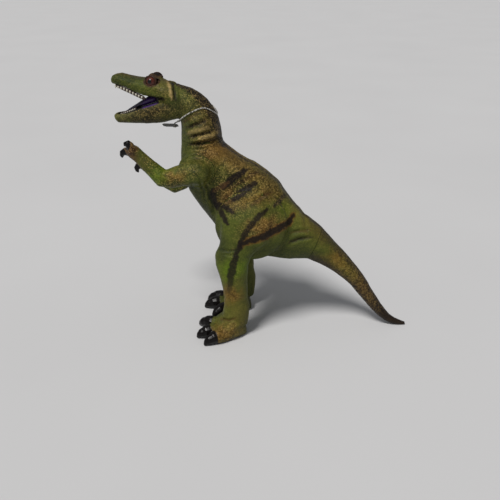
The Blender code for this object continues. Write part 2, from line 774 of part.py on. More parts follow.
def strand(name, points, radius, sides=8, closed=False):
    """A thin round cord through points."""
    rings = []
    count = len(points)
    for i, point in enumerate(points):
        ahead = points[(i + 1) % count] if closed else points[min(i + 1, count - 1)]
        behind = points[i - 1] if closed else points[max(i - 1, 0)]
        along = (ahead - behind).normalized()
        across = along.cross(cord_twist_guide).normalized()
        rings.append(section(point, across.cross(along), across, radius, radius, sides=sides))
    if not closed:
        return loft(name, rings)
    bm = bmesh.new()
    loops = [[bm.verts.new(p) for p in ring] for ring in rings]
    for k in range(count):
        low, high = loops[k], loops[(k + 1) % count]
        for i in range(sides):
            j = (i + 1) % sides
            bm.faces.new((low[i], low[j], high[j], high[i]))
    return add_object(name, bm)


# The lead from the loop's front to the card's hole, over its length
cord_lead_shares = [
    (-0.12, 0.00, -0.08),
    (-0.25, 0.06, -0.16),
    (-0.36, 0.10, -0.34),
]
# Round the neck from its back to the throat in degrees, and the height up the neck, the same on each side
cord_route_shares = [
    (0, 0.500),
    (20, 0.570),
    (45, 0.675),
    (90, 0.715),
    (135, 0.665),
    (160, 0.600),
    (180, 0.565),
]
cord_twist_guide = Vector((0.3, 0.2, 0.93))


def between(rows, key, value):
    """The row of a table at one value of its column key."""
    for low, high in zip(rows, rows[1:]):
        if value <= high[key] or high is rows[-1]:
            t = (value - low[key]) / (high[key] - low[key])
            return [a + (b - a) * t for a, b in zip(low, high)]


def cord_place(turn):
    """A point of the cord's loop, which rests on the neck, at one angle round it."""
    bearing = math.degrees(math.acos(max(-1.0, min(1.0, math.cos(turn)))))
    height = between(smooth_rows(cord_route_shares, 4), 0, bearing)[1]
    forward, rise, girth, lean = between(smooth_rows(neck_section_shares, 2), 1, height)
    centre = Vector((neck_face.x - forward * neck_forward, 0.0, neck_face.z + rise * neck_rise))
    reach = girth * neck_radius + cord_radius + cord_rest
    return centre + (lean_direction(lean) * math.cos(turn) + Y_AXIS * math.sin(turn)) * reach


def build_cord_and_tag():
    loop = [cord_place(2 * math.pi * i / cord_loop_points) for i in range(cord_loop_points)]
    cord = strand("neck_cord", loop, cord_radius, 6, True)
    front = cord_place(math.pi)
    tilt = math.radians(tag_tilt)
    down_card = Vector((0.0, math.cos(tilt), -math.sin(tilt)))
    card_normal = Vector((0.0, math.sin(tilt), math.cos(tilt)))
    first, second, hole = [front + Vector(place) * cord_lead for place in cord_lead_shares]
    lead = [front, first, second, hole + card_normal * tag_hole_radius, hole,
            hole - card_normal * tag_hole_radius]
    boolean(cord, strand("cord_lead", lead, cord_radius, 6), "UNION")
    knot_radius = tag_hole_radius * knot_share
    knot_centre = hole - card_normal * (tag_thickness / 2 + joint_gap + knot_radius)
    boolean(cord, ball("cord_knot", knot_centre, (knot_radius,) * 3, 8, 6), "UNION")
    show_part(cord, material("cord_white", (0.75, 0.74, 0.70), 0.70))

    bm = bmesh.new()
    bmesh.ops.create_cube(bm, size=1.0)
    size = Matrix.Diagonal((tag_length, tag_width, tag_thickness, 1.0))
    hole_inset = tag_hole_edge_share * tag_hole_radius
    middle = hole + down_card * (tag_width / 2 - hole_inset) - X_AXIS * (tag_length / 2 - hole_inset)
    turn = Matrix.Rotation(-tilt, 4, "X")
    bmesh.ops.transform(bm, matrix=Matrix.Translation(middle) @ turn @ size, verts=bm.verts[:])
    upright = [edge for edge in bm.edges
               if abs((edge.verts[0].co - edge.verts[1].co).normalized().dot(card_normal)) > 0.9]
    bmesh.ops.bevel(bm, geom=upright, offset=tag_corner, segments=3, affect="EDGES")
    tag = add_object("swing_tag", bm, parts, material("tag_card", (0.07, 0.07, 0.07), 0.55))
    boolean(tag, rod("tag_hole", hole - card_normal * overrun, card_normal, 2 * overrun,
                     tag_hole_radius, 16), "DIFFERENCE")


build_trunk()
build_tail()
for leg_side, leg_name in ((LEFT, "left"), (RIGHT, "right")):
    build_leg(leg_side, leg_name)
build_arm(LEFT, "left", 0.0, 0.0, 0.0, 1.0)
build_arm(RIGHT, "right", right_arm_lowering, right_elbow_drop, right_elbow_forward,
          right_arm_reach_share)
build_head()
build_teeth("upper_teeth", teeth_start_share, upper_teeth_end_share, teeth_per_side, -1, 1.0)
build_teeth("lower_teeth", teeth_start_share, lower_teeth_end_share, teeth_per_side, 1,
            lower_tooth_share)
build_tongue()
build_cord_and_tag()

# Each moving shell, with what it carries, hangs on a pivot on its joint's axis
pivots = {
    "neck_pivot": (neck_face, ["head_shell", "left_eye", "right_eye", "upper_teeth", "lower_teeth",
                               "tongue", "neck_cord", "swing_tag"]),
    "tail_pivot": (tail_face, ["tail_shell"]),
}
for pivot_side, pivot_name in ((LEFT, "left"), (RIGHT, "right")):
    pivots[pivot_name + "_hip_pivot"] = (
        Vector((hip_x, pivot_side * hip_half_span, hip_height)), [pivot_name + "_leg_shell"])
    pivots[pivot_name + "_shoulder_pivot"] = (
        Vector((shoulder_x, pivot_side * shoulder_half_span, shoulder_z)), [pivot_name + "_arm_shell"])
for pivot_name, (pivot_place, carried) in pivots.items():
    pivot = bpy.data.objects.new(pivot_name, None)
    pivot.location = pivot_place
    pivot.empty_display_size = neck_radius
    parts.objects.link(pivot)
    for carried_name in carried:
        child = parts.objects[carried_name]
        child.parent = pivot
        child.matrix_parent_inverse = Matrix.Translation(-pivot_place)
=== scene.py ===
import math

import bmesh
import bpy
import numpy as np
from mathutils import Matrix, Vector
from mathutils.bvhtree import BVHTree


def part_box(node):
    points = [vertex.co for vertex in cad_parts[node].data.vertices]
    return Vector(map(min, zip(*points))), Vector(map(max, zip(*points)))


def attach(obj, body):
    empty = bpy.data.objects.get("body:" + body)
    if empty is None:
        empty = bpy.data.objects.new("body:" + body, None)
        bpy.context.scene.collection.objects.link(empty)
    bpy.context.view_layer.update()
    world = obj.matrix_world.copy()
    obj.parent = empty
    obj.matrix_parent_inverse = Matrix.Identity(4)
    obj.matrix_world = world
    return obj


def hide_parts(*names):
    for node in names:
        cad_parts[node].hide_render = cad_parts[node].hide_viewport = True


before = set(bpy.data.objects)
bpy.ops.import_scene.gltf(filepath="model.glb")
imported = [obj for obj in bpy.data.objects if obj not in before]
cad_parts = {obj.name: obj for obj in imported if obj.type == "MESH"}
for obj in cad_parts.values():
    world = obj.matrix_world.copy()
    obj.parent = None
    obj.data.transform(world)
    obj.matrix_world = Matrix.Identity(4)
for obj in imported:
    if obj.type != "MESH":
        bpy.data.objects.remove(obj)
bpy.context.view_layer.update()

scene = bpy.context.scene

# The camera looks at the figure's left side from a little above
view = {"place": (0.0266, -0.6592, 0.4282), "turn": (63.93, 0.0, 4.5), "lens": 40.32,
        "sensor": 36.0, "frame": 500}
cameraData = bpy.data.cameras.new("photoCamera")
cameraData.lens = view["lens"]
cameraData.sensor_width = view["sensor"]
camera = bpy.data.objects.new("photoCamera", cameraData)
camera.location = view["place"]
camera.rotation_euler = [math.radians(a) for a in view["turn"]]
scene.collection.objects.link(camera)
scene.camera = camera

# Places of the joints, as the solids have them
hips = {"x": -0.027, "z": 0.152, "split": 0.03155, "radius": 0.0275}
shoulders = {"x": -0.084886, "z": 0.221748, "split": 0.0318, "radius": 0.0142}
neck = {"x": -0.083481, "z": 0.25211, "radius": 0.0238}
tail = {"place": (0.057157, 0.0, 0.119399), "axis": (0.920505, 0.0, -0.390731), "radius": 0.0224}


class Wire:
    def __init__(self, tree, socket=None):
        self.tree = tree
        self.socket = socket

    def node(self, kind, settings=None, inputs=None, output=0):
        made = self.tree.nodes.new(kind)
        for key, value in (settings or {}).items():
            setattr(made, key, value)
        for key, value in (inputs or {}).items():
            if isinstance(value, Wire):
                self.tree.links.new(value.socket, made.inputs[key])
            else:
                made.inputs[key].default_value = value
        return Wire(self.tree, made.outputs[output])

    def maths(self, operation, first, second):
        return self.node("ShaderNodeMath", {"operation": operation}, {0: first, 1: second})

    def __add__(self, other):
        return self.maths("ADD", self, other)

    def __radd__(self, other):
        return self.maths("ADD", other, self)

    def __sub__(self, other):
        return self.maths("SUBTRACT", self, other)

    def __rsub__(self, other):
        return self.maths("SUBTRACT", other, self)

    def __mul__(self, other):
        return self.maths("MULTIPLY", self, other)

    def __rmul__(self, other):
        return self.maths("MULTIPLY", other, self)

    def __truediv__(self, other):
        return self.maths("DIVIDE", self, other)

    def __rtruediv__(self, other):
        return self.maths("DIVIDE", other, self)

    def ramp(self, low, high, start=0.0, end=1.0):
        return self.node("ShaderNodeMapRange", {"interpolation_type": "SMOOTHSTEP"},
                         {0: self, 1: low, 2: high, 3: start, 4: end})

    def mix(self, factor, first, second):
        return self.node("ShaderNodeMix", {"data_type": "RGBA", "clamp_factor": True},
                         {0: factor, 6: first, 7: second}, 2)

    def times(self, first, second):
        return self.node("ShaderNodeMix", {"data_type": "RGBA", "blend_type": "MULTIPLY"},
                         {0: 1.0, 6: first, 7: second}, 2)

    def grey(self, value):
        return self.node("ShaderNodeCombineColor", {}, {0: value, 1: value, 2: value})

    def noise(self, place, scale, detail=3.0, rough=0.55):
        return self.node("ShaderNodeTexNoise", {}, {"Vector": place, "Scale": scale, "Detail": detail,
                                                    "Roughness": rough})

    def cells(self, place, scale, feature="F1"):
        return self.node("ShaderNodeTexVoronoi", {"feature": feature}, {"Vector": place, "Scale": scale})

    def attribute(self, name, output="Fac"):
        return self.node("ShaderNodeAttribute", {"attribute_name": name}, {}, output)


def newMaterial(name, **constants):
    made = bpy.data.materials.new(name)
    made.use_nodes = True
    shader = made.node_tree.nodes["Principled BSDF"]
    for key, value in constants.items():
        shader.inputs[key.replace("_", " ")].default_value = value
    wire = Wire(made.node_tree)
    place = wire.node("ShaderNodeTexCoord", {}, {}, "Object")

    def feed(**sockets):
        for key, value in sockets.items():
            made.node_tree.links.new(value.socket, shader.inputs[key.replace("_", " ")])

    return made, wire, place, feed


def bumped(wire, height, strength, distance):
    return wire.node("ShaderNodeBump", {}, {"Height": height, "Strength": strength,
                                            "Distance": distance})


def tint(colour):
    return (*colour, 1.0)


# Painted vinyl hide: fine pebbled scales, dark between them and dry-brushed gold on top
hideLook = {"warp": 130.0, "scales": 680.0, "fineScales": 1100.0, "patches": 34.0, "specks": 480.0,
            "clumps": 160.0, "brushedGold": (0.54, 0.37, 0.13), "goldShare": 0.55,
            "clawBlack": (0.005, 0.004, 0.004), "roughness": 0.42, "clawPolish": 0.18,
            "bump": 0.45, "bumpDepth": 0.00045}
hide, wire, place, feed = newMaterial("paintedHide", IOR=1.5, Specular_IOR_Level=0.17)
paint = wire.attribute("paint", "Color")
claw = wire.attribute("claw")
dust = wire.attribute("dust")
bare = wire.attribute("bare")
warp = wire.noise(place, hideLook["warp"], 2.0)
edge = wire.cells(place, hideLook["scales"], "DISTANCE_TO_EDGE")
finer = wire.cells(place, hideLook["fineScales"], "DISTANCE_TO_EDGE")
patch = wire.noise(place, hideLook["patches"], 4.0)
speck = wire.noise(place, hideLook["specks"], 3.0, 0.7)
cellColour = wire.node("ShaderNodeTexVoronoi", {}, {"Vector": place, "Scale": hideLook["scales"]}, 1)
cellTone = wire.node("ShaderNodeSeparateColor", {}, {0: cellColour})
clump = wire.noise(place, hideLook["clumps"], 4.0, 0.6)
plain = (1.0 - claw) * (1.0 - bare)
recess = edge.ramp(0.0, 0.20, 1.0, 0.0) * plain
top = edge.ramp(0.08, 0.30) * (cellTone * 0.7 + clump * 0.7).ramp(0.50, 0.80) * dust
shaded = wire.times(paint, wire.grey(patch.ramp(0.25, 0.75, 0.84, 1.16)))
vary = 1.0 + (cellTone - 0.5) * (0.12 + dust * 0.9) * plain
shaded = wire.times(shaded, wire.grey(vary * (1.0 + (clump - 0.5) * (0.4 + dust * 1.6) * plain)))
shaded = wire.times(shaded, wire.grey(1.0 - recess * (0.25 + dust * 0.75) * warp.ramp(0.3, 0.7, 0.45, 0.9)))
shaded = wire.mix(top * hideLook["goldShare"], shaded, tint(hideLook["brushedGold"]))
shaded = wire.mix(claw, shaded, tint(hideLook["clawBlack"]))
relief = edge.ramp(0.0, 0.3) + finer.ramp(0.0, 0.35) * 0.3 + speck * 0.15
roughness = hideLook["roughness"] - claw * hideLook["clawPolish"] + patch.ramp(0.3, 0.7, -0.05, 0.08)
feed(Base_Color=shaded, Roughness=roughness + speck * 0.06,
     Normal=bumped(wire, relief * (1.0 - claw) * (1.0 - bare * 0.8), hideLook["bump"],
                   hideLook["bumpDepth"]))

# Painted eye: dark pupil, red-brown iris, black rim
eyeLook = {"streaks": 600.0, "iris": (0.105, 0.022, 0.012), "irisShade": (0.050, 0.010, 0.006),
           "pupil": (0.004, 0.003, 0.003), "rim": (0.006, 0.004, 0.003)}
eyeGloss, wire, place, feed = newMaterial("eyeGloss", Coat_Weight=0.12, Coat_Roughness=0.22,
                                          Specular_IOR_Level=0.3)
gaze = wire.attribute("gaze")
streak = wire.noise(place, eyeLook["streaks"], 3.0)
iris = wire.mix(streak.ramp(0.35, 0.65), tint(eyeLook["iris"]), tint(eyeLook["irisShade"]))
eyeColour = wire.mix(gaze.ramp(0.93, 0.97), iris, tint(eyeLook["pupil"]))
eyeColour = wire.mix(gaze.ramp(0.42, 0.62, 1.0, 0.0), eyeColour, tint(eyeLook["rim"]))
feed(Base_Color=eyeColour, Roughness=streak.ramp(0.0, 1.0, 0.26, 0.34))

# Stained white teeth
toothLook = {"stains": 300.0, "white": (0.74, 0.72, 0.62), "stained": (0.52, 0.47, 0.33)}
toothWhite, wire, place, feed = newMaterial("toothWhite", Coat_Weight=0.25, Coat_Roughness=0.15)
stain = wire.noise(place, toothLook["stains"], 3.0)
feed(Base_Color=wire.mix(stain.ramp(0.3, 0.75), tint(toothLook["white"]), tint(toothLook["stained"])),
     Roughness=stain.ramp(0.2, 0.8, 0.28, 0.42))

# Dark painted gums
gumLook = {"stains": 260.0, "dark": (0.020, 0.010, 0.008), "red": (0.055, 0.022, 0.015)}
gumDark, wire, place, feed = newMaterial("gumDark")
stain = wire.noise(place, gumLook["stains"], 3.0)
feed(Base_Color=wire.mix(stain, tint(gumLook["dark"]), tint(gumLook["red"])),
     Roughness=stain.ramp(0.2, 0.8, 0.3, 0.5), Normal=bumped(wire, stain, 0.3, 0.0003))

# Purple tongue, with painted shade at its root under the upper jaw, and darker at its tip
tongueLook = {"stains": 190.0, "pebbles": 1200.0, "dark": (0.040, 0.016, 0.095),
              "light": (0.075, 0.035, 0.140), "tip": (-0.154, -0.149), "root": (-0.136, -0.127)}
tongueSkin, wire, place, feed = newMaterial("tonguePurple")
stain = wire.noise(place, tongueLook["stains"], 4.0)
pebble = wire.cells(place, tongueLook["pebbles"])
depth = wire.node("ShaderNodeSeparateXYZ", {}, {0: place})
deep = depth.ramp(*tongueLook["tip"], 0.12, 1.0) * depth.ramp(*tongueLook["root"], 1.0, 0.10)
purple = wire.mix(stain.ramp(0.3, 0.7), tint(tongueLook["dark"]), tint(tongueLook["light"]))
feed(Base_Color=wire.times(wire.grey(deep), purple), Roughness=stain.ramp(0.2, 0.8, 0.25, 0.42),
     Normal=bumped(wire, pebble, 0.4, 0.00025))

# Twisted cotton cord, with painted shade between its twists as dark beads
cordLook = {"fibres": 2600.0, "beads": 520.0, "between": (0.10, 0.09, 0.07),
            "worn": (0.50, 0.48, 0.43), "clean": (0.74, 0.72, 0.66)}
cordCotton, wire, place, feed = newMaterial("cordCotton", Sheen_Weight=0.3)
fibre = wire.noise(place, cordLook["fibres"], 3.0)
bead = wire.noise(place, cordLook["beads"], 1.0).ramp(0.42, 0.56)
cotton = wire.mix(fibre, tint(cordLook["worn"]), tint(cordLook["clean"]))
feed(Base_Color=wire.mix(bead, tint(cordLook["between"]), cotton),
     Roughness=fibre.ramp(0.0, 1.0, 0.75, 0.95), Normal=bumped(wire, fibre, 0.6, 0.0002))

# Plain dark card
cardLook = {"pulp": 1500.0, "clouds": 60.0, "dark": (0.050, 0.050, 0.048), "light": (0.085, 0.084, 0.080)}
tagCard, wire, place, feed = newMaterial("tagCard")
pulp = wire.noise(place, cardLook["pulp"], 4.0)
cloud = wire.noise(place, cardLook["clouds"], 2.0)
feed(Base_Color=wire.mix(pulp * 0.5 + cloud * 0.5, tint(cardLook["dark"]), tint(cardLook["light"])),
     Roughness=pulp.ramp(0.2, 0.8, 0.6, 0.8), Normal=bumped(wire, pulp, 0.25, 0.0001))
print("stage: materials")

# Small helpers for points, lines on the photograph's plane, and meshes
turnBack = np.array(camera.rotation_euler.to_matrix()).T


def photoPlace(points):
    away = (points - np.array(view["place"])) @ turnBack.T
    reach = view["lens"] / view["sensor"] * view["frame"]
    return np.stack([view["frame"] / 2 + reach * away[:, 0] / -away[:, 2],
                     view["frame"] / 2 - reach * away[:, 1] / -away[:, 2]], 1)


def smoothStep(values, low, high):
    t = np.clip((values - low) / (high - low), 0.0, 1.0)
    return t * t * (3.0 - 2.0 * t)


def fadeOut(values, low, high):
    return smoothStep(-values, -high, -low)


def latticeNoise(points, size, seed):
    grid = points / size
    base = np.floor(grid).astype(np.int64)
    part = grid - base
    part = part * part * (3.0 - 2.0 * part)
    total = np.zeros(len(points))
    for corner in np.ndindex(2, 2, 2):
        key = base + np.array(corner)
        # Large primes mix the cell's three numbers into one
        mixed = (key[:, 0] * 73856093) ^ (key[:, 1] * 19349663) ^ (key[:, 2] * 83492791) ^ (seed * 97911)
        mixed = (mixed ^ (mixed >> 13)) * 1274126177
        value = ((mixed >> 9) & 65535) / 65535.0
        weight = np.prod(np.where(np.array(corner) == 1, part, 1.0 - part), axis=1)
        total += weight * value
    return total


def noisePair(points, size, seed):
    return np.stack([latticeNoise(points, size, seed) - 0.5, latticeNoise(points, size, seed + 1) - 0.5], 1)


def lineDistance(places, points):
    best = np.full(len(places), 1e9)
    share = np.zeros(len(places))
    count = len(points) - 1
    for i in range(count):
        a, b = np.array(points[i], float), np.array(points[i + 1], float)
        step = b - a
        t = np.clip(((places - a) @ step) / (step @ step), 0.0, 1.0)
        gap = np.linalg.norm(places - a - t[:, None] * step, axis=1)
        closer = gap < best
        best[closer] = gap[closer]
        share[closer] = ((i + t) / count)[closer]
    return best, share


def ovalGap(places, u, v, wide, tall, angle):
    turn = math.radians(angle)
    du, dv = places[:, 0] - u, places[:, 1] - v
    a = (du * math.cos(turn) + dv * math.sin(turn)) / wide
    b = (dv * math.cos(turn) - du * math.sin(turn)) / tall
    return a * a + b * b


def circleSteps(count):
    return [2 * math.pi * k / count for k in range(count)]


def turnsAlong(route, closed, up):
    # Each point of a route with two directions across it
    count = len(route)
    found = []
    for i, p in enumerate(route):
        ahead = route[(i + 1) % count] if closed else route[min(i + 1, count - 1)]
        behind = route[i - 1] if closed else route[max(i - 1, 0)]
        along = (ahead - behind).normalized()
        level = along.cross(Vector(up)).normalized()
        found.append((p, level, level.cross(along)))
    return found


def meshObject(name, mesh, material=None):
    made = bpy.data.objects.new(name, mesh)
    scene.collection.objects.link(made)
    if material:
        mesh.materials.clear()
        mesh.materials.append(material)
    mesh.shade_smooth()
    return made


def finished(name, rough, material=None):
    mesh = bpy.data.meshes.new(name)
    rough.to_mesh(mesh)
    rough.free()
    return meshObject(name, mesh, material)


def applied(made):
    ready = bpy.data.meshes.new_from_object(made.evaluated_get(bpy.context.evaluated_depsgraph_get()))
    made.modifiers.clear()
    made.data = ready
    return made


def remeshed(made, voxel):
    remesh = made.modifiers.new("remesh", "REMESH")
    remesh.mode = "VOXEL"
    remesh.voxel_size = voxel


def meshPoints(mesh, key="co"):
    flat = np.empty(len(mesh.vertices) * 3, np.float32)
    mesh.vertices.foreach_get(key, flat)
    return flat.reshape(-1, 3).astype(float)


def meshNormals(mesh):
    return meshPoints(mesh, "normal")


def meshEdges(mesh):
    flat = np.empty(len(mesh.edges) * 2, np.int32)
    mesh.edges.foreach_get("vertices", flat)
    return flat.reshape(-1, 2)


def placePoints(mesh, points):
    mesh.vertices.foreach_set("co", points.astype(np.float32).ravel())
    mesh.update()


def setShare(mesh, name, values):
    mesh.attributes.new(name, "FLOAT", "POINT").data.foreach_set("value", values.astype(np.float32))


def setPaint(mesh, colours):
    rows = np.concatenate([colours, np.ones((len(colours), 1))], 1)
    shade = mesh.color_attributes.new("paint", "FLOAT_COLOR", "POINT")
    shade.data.foreach_set("color", rows.astype(np.float32).ravel())


def addSolid(rough, rings):
    loops = [[rough.verts.new(p) for p in ring] for ring in rings]
    for low, high in zip(loops, loops[1:]):
        for i in range(len(low)):
            j = (i + 1) % len(low)
            rough.faces.new((low[i], low[j], high[j], high[i]))
    rough.faces.new(loops[0][::-1])
    rough.faces.new(loops[-1])


def addHoop(rough, rings):
    loops = [[rough.verts.new(p) for p in ring] for ring in rings]
    sides = len(loops[0])
    for low, high in zip(loops, loops[1:] + loops[:1]):
        for k in range(sides):
            rough.faces.new((low[k], low[(k + 1) % sides], high[(k + 1) % sides], high[k]))


def addDisc(rough, centre, axis, radius, thickness):
    axis = Vector(axis).normalized()
    turn = Vector((0.0, 0.0, 1.0)).rotation_difference(axis).to_matrix().to_4x4()
    bmesh.ops.create_cone(rough, cap_ends=True, segments=40, radius1=radius, radius2=radius,
                          depth=thickness, matrix=Matrix.Translation(centre) @ turn)


def addBall(rough, centre, sizes):
    bmesh.ops.create_icosphere(rough, subdivisions=4, radius=1.0,
                               matrix=Matrix.Translation(centre) @ Matrix.Diagonal((*sizes, 1.0)))


def newTree(name, *sizes):
    tree = bpy.data.node_groups.new(name, "GeometryNodeTree")
    tree.interface.new_socket("Geometry", in_out="INPUT", socket_type="NodeSocketGeometry")
    keys = {}
    for size in sizes:
        keys[size] = tree.interface.new_socket(size, in_out="INPUT", socket_type="NodeSocketFloat").identifier
    tree.interface.new_socket("Geometry", in_out="OUTPUT", socket_type="NodeSocketGeometry")
    entry = tree.nodes.new("NodeGroupInput")
    return Wire(tree), keys, [Wire(tree, entry.outputs[key]) for key in ("Geometry", *sizes)]


def endTree(rule, geometry, material):
    solid = rule.node("GeometryNodeRealizeInstances", {}, {"Geometry": geometry})
    dressed = rule.node("GeometryNodeSetMaterial", {}, {"Geometry": solid, "Material": material})
    leave = rule.tree.nodes.new("NodeGroupOutput")
    rule.tree.links.new(dressed.socket, leave.inputs["Geometry"])


def grown(made, rule, keys, sizes):
    growth = made.modifiers.new(rule.tree.name, "NODES")
    growth.node_group = rule.tree
    for key, value in sizes.items():
        growth[keys[key]] = value
    return applied(made)


# One closed hide over all shells, which is later parted at the joints
hideSizes = {"voxel": 0.0008, "passes": 200, "widest": 5.6, "blendPasses": 12}
thighSizes = {"inner": 0.015, "outer": 0.0345, "forward": 0.063, "depth": 0.0295, "sides": 32,
              "squareForward": 0.8, "squareAcross": 0.4}
# The thigh from top to bottom: height, place forward and depth as shares
thighRows = [(1.215, 0.000, 0.30), (1.180, 0.000, 0.70), (1.090, -0.008, 0.955), (0.990, 0.000, 1.00),
             (0.900, 0.040, 0.94), (0.845, 0.125, 0.83), (0.775, 0.250, 0.72)]
bulges = {"hip": ((-0.022, 0.0290, 0.153), (0.045, 0.0125, 0.047)),
          "shoulder": ((shoulders["x"], 0.0280, shoulders["z"]), (0.024, 0.0085, 0.023))}
# A ball that closes the back of the mouth; the mouth's near-black paint on it is painted shade
throatPlace, throatSize = (-0.127, 0.0, 0.3000), (0.0085, 0.0165, 0.0075)
joinDiscs = {"hip": 0.006, "shoulder": 0.014, "shoulderInset": 0.0055, "neck": 0.005, "tail": 0.005}
shellNodes = {"torso": "torso_shell", "head": "head_shell", "tail": "tail_shell",
              "left_arm": "left_arm_shell", "right_arm": "right_arm_shell",
              "left_leg": "left_leg_shell", "right_leg": "right_leg_shell"}


def addThigh(rough, side):
    middle = side * (thighSizes["inner"] + thighSizes["outer"]) / 2
    half = (thighSizes["outer"] - thighSizes["inner"]) / 2
    rings = []
    for height, forward, depth in thighRows:
        ring = []
        for a in circleSteps(thighSizes["sides"]):
            c, s = math.cos(a), math.sin(a)
            ring.append((hips["x"] - forward * thighSizes["forward"]
                         + math.copysign(abs(c) ** thighSizes["squareForward"], c)
                         * depth * thighSizes["depth"],
                         middle + math.copysign(abs(s) ** thighSizes["squareAcross"], s) * half,
                         hips["z"] * height))
        rings.append(ring)
    addSolid(rough, rings)


rough = bmesh.new()
for nodeName in shellNodes.values():
    rough.from_mesh(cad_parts[nodeName].data)
for side in (-1, 1):
    addDisc(rough, (hips["x"], side * hips["split"], hips["z"]), (0, 1, 0), hips["radius"], joinDiscs["hip"])
    addDisc(rough, (shoulders["x"], side * (shoulders["split"] - joinDiscs["shoulderInset"]), shoulders["z"]),
            (0, 1, 0), shoulders["radius"], joinDiscs["shoulder"])
    addThigh(rough, side)
    for (px, py, pz), sizes in bulges.values():
        addBall(rough, (px, side * py, pz), sizes)
addBall(rough, throatPlace, throatSize)
addDisc(rough, (neck["x"], 0.0, neck["z"]), (0, 0, 1), neck["radius"], joinDiscs["neck"])
addDisc(rough, tail["place"], tail["axis"], tail["radius"], joinDiscs["tail"])
bmesh.ops.recalc_face_normals(rough, faces=rough.faces[:])
roughHide = finished("roughHide", rough)
remeshed(roughHide, hideSizes["voxel"])
applied(roughHide)
points = meshPoints(roughHide.data)
edges = meshEdges(roughHide.data)
print("stage: remeshed", len(points), "points")

# Only the outermost surface is kept
label = np.arange(len(points))
while True:
    lower = np.minimum(label[edges[:, 0]], label[edges[:, 1]])
    before = label.copy()
    np.minimum.at(label, edges[:, 0], lower)
    np.minimum.at(label, edges[:, 1], lower)
    label = label[label]
    if (label == before).all():
        break
outer = label == label[np.argmin(points[:, 0])]
outerMesh = bmesh.new()
outerMesh.from_mesh(roughHide.data)
outerMesh.verts.ensure_lookup_table()
bmesh.ops.delete(outerMesh, geom=[outerMesh.verts[i] for i in np.nonzero(~outer)[0]], context="VERTS")
outerMesh.to_mesh(roughHide.data)
outerMesh.free()
points = meshPoints(roughHide.data)
edges = meshEdges(roughHide.data)
print("stage: outer surface", len(points), "points")

# How wide each region is smoothed, in millimetres, and the places where the regions meet
blends = {"trunk": 5.2, "shin": 2.6, "foot": 1.0, "forearm": 2.4, "hand": 0.8, "neck": 3.2, "face": 1.0,
          "tailRoot": 4.2, "tailTip": 0.5, "tailThinning": 26.0}
limits = {"shinTop": 0.118, "shinInner": 0.012, "footTop": 0.040, "legBack": 0.030, "armInner": 0.030,
          "armBack": -0.064, "armLow": 0.160, "elbow": -0.104, "wrist": -0.150, "headSide": 0.030,
          "neckLow": 0.253, "faceLow": 0.262, "faceBack": -0.118}


def alongTail(x, z):
    return (x - tail["place"][0]) * tail["axis"][0] + (z - tail["place"][2]) * tail["axis"][2]


def armPart(x, across, z):
    return (across > limits["armInner"]) & (x < limits["armBack"]) & (z > limits["armLow"])


x, y, z = points.T
across = np.abs(y)
isArm = armPart(x, across, z)
isHead = across < limits["headSide"]
ahead = x < limits["legBack"]
onTail = alongTail(x, z)
wide = np.full(len(points), blends["trunk"])
wide[ahead & (z < limits["shinTop"]) & (across > limits["shinInner"])] = blends["shin"]
wide[ahead & (z < limits["footTop"])] = blends["foot"]
wide[isArm] = np.where(x[isArm] > limits["elbow"], blends["trunk"], blends["forearm"])
wide[isArm & (x < limits["wrist"])] = blends["hand"]
wide[isHead & (z > limits["neckLow"])] = blends["neck"]
wide[isHead & (z > limits["faceLow"]) & (x < limits["faceBack"])] = blends["face"]
thinning = np.clip(blends["tailRoot"] - onTail * blends["tailThinning"], blends["tailTip"],
                   blends["tailRoot"])
wide = np.where((onTail > 0.0) & (x > limits["legBack"]), thinning, wide)
degree = np.bincount(edges.ravel(), minlength=len(points)).astype(float)


def averaged(values):
    total = np.empty_like(values)
    for k in range(values.shape[1]):
        column = values[:, k]
        total[:, k] = (np.bincount(edges[:, 0], column[edges[:, 1]], len(column))
                       + np.bincount(edges[:, 1], column[edges[:, 0]], len(column)))
    return total / degree[:, None]


wideBlend = wide[:, None].copy()
for k in range(hideSizes["blendPasses"]):
    wideBlend = averaged(wideBlend)
strength = 0.5 * np.minimum(1.0, (wideBlend / hideSizes["widest"]) ** 2)


def smoothed(values, passes):
    for k in range(passes):
        values = values + strength * (averaged(values) - values)
    return values


soft = smoothed(points, hideSizes["passes"])
soft = soft + smoothed(points - soft, hideSizes["passes"] // 2)

# The brows are pressed flatter, more so behind the eyes
browSizes = {"low": 0.3225, "back": (-0.128, -0.120), "front": (-0.156, -0.150), "press": 0.50,
             "morePress": 0.34, "behindEyes": (-0.141, -0.134)}
brow = (fadeOut(soft[:, 0], *browSizes["back"]) * smoothStep(soft[:, 0], *browSizes["front"])
        * np.clip(soft[:, 2] - browSizes["low"], 0.0, None))
behindEyes = smoothStep(soft[:, 0], *browSizes["behindEyes"])
soft[:, 2] -= brow * (browSizes["press"] + browSizes["morePress"] * behindEyes)
placePoints(roughHide.data, soft)

# The right arm's inner side is set outside the cut plane, so that no flap of it stays behind on the chest
armpit = {"side": 0.0323, "inner": 0.018, "facing": (-0.3, 0.1), "back": (-0.101, -0.096),
          "high": (0.206, 0.215)}
inward = fadeOut(meshNormals(roughHide.data)[:, 1], *armpit["facing"]) * (soft[:, 1] > armpit["inner"])
inward *= fadeOut(soft[:, 0], *armpit["back"]) * fadeOut(soft[:, 2], *armpit["high"])
soft[:, 1] += np.maximum(0.0, armpit["side"] - soft[:, 1]) * inward
placePoints(roughHide.data, soft)
print("stage: smoothed")
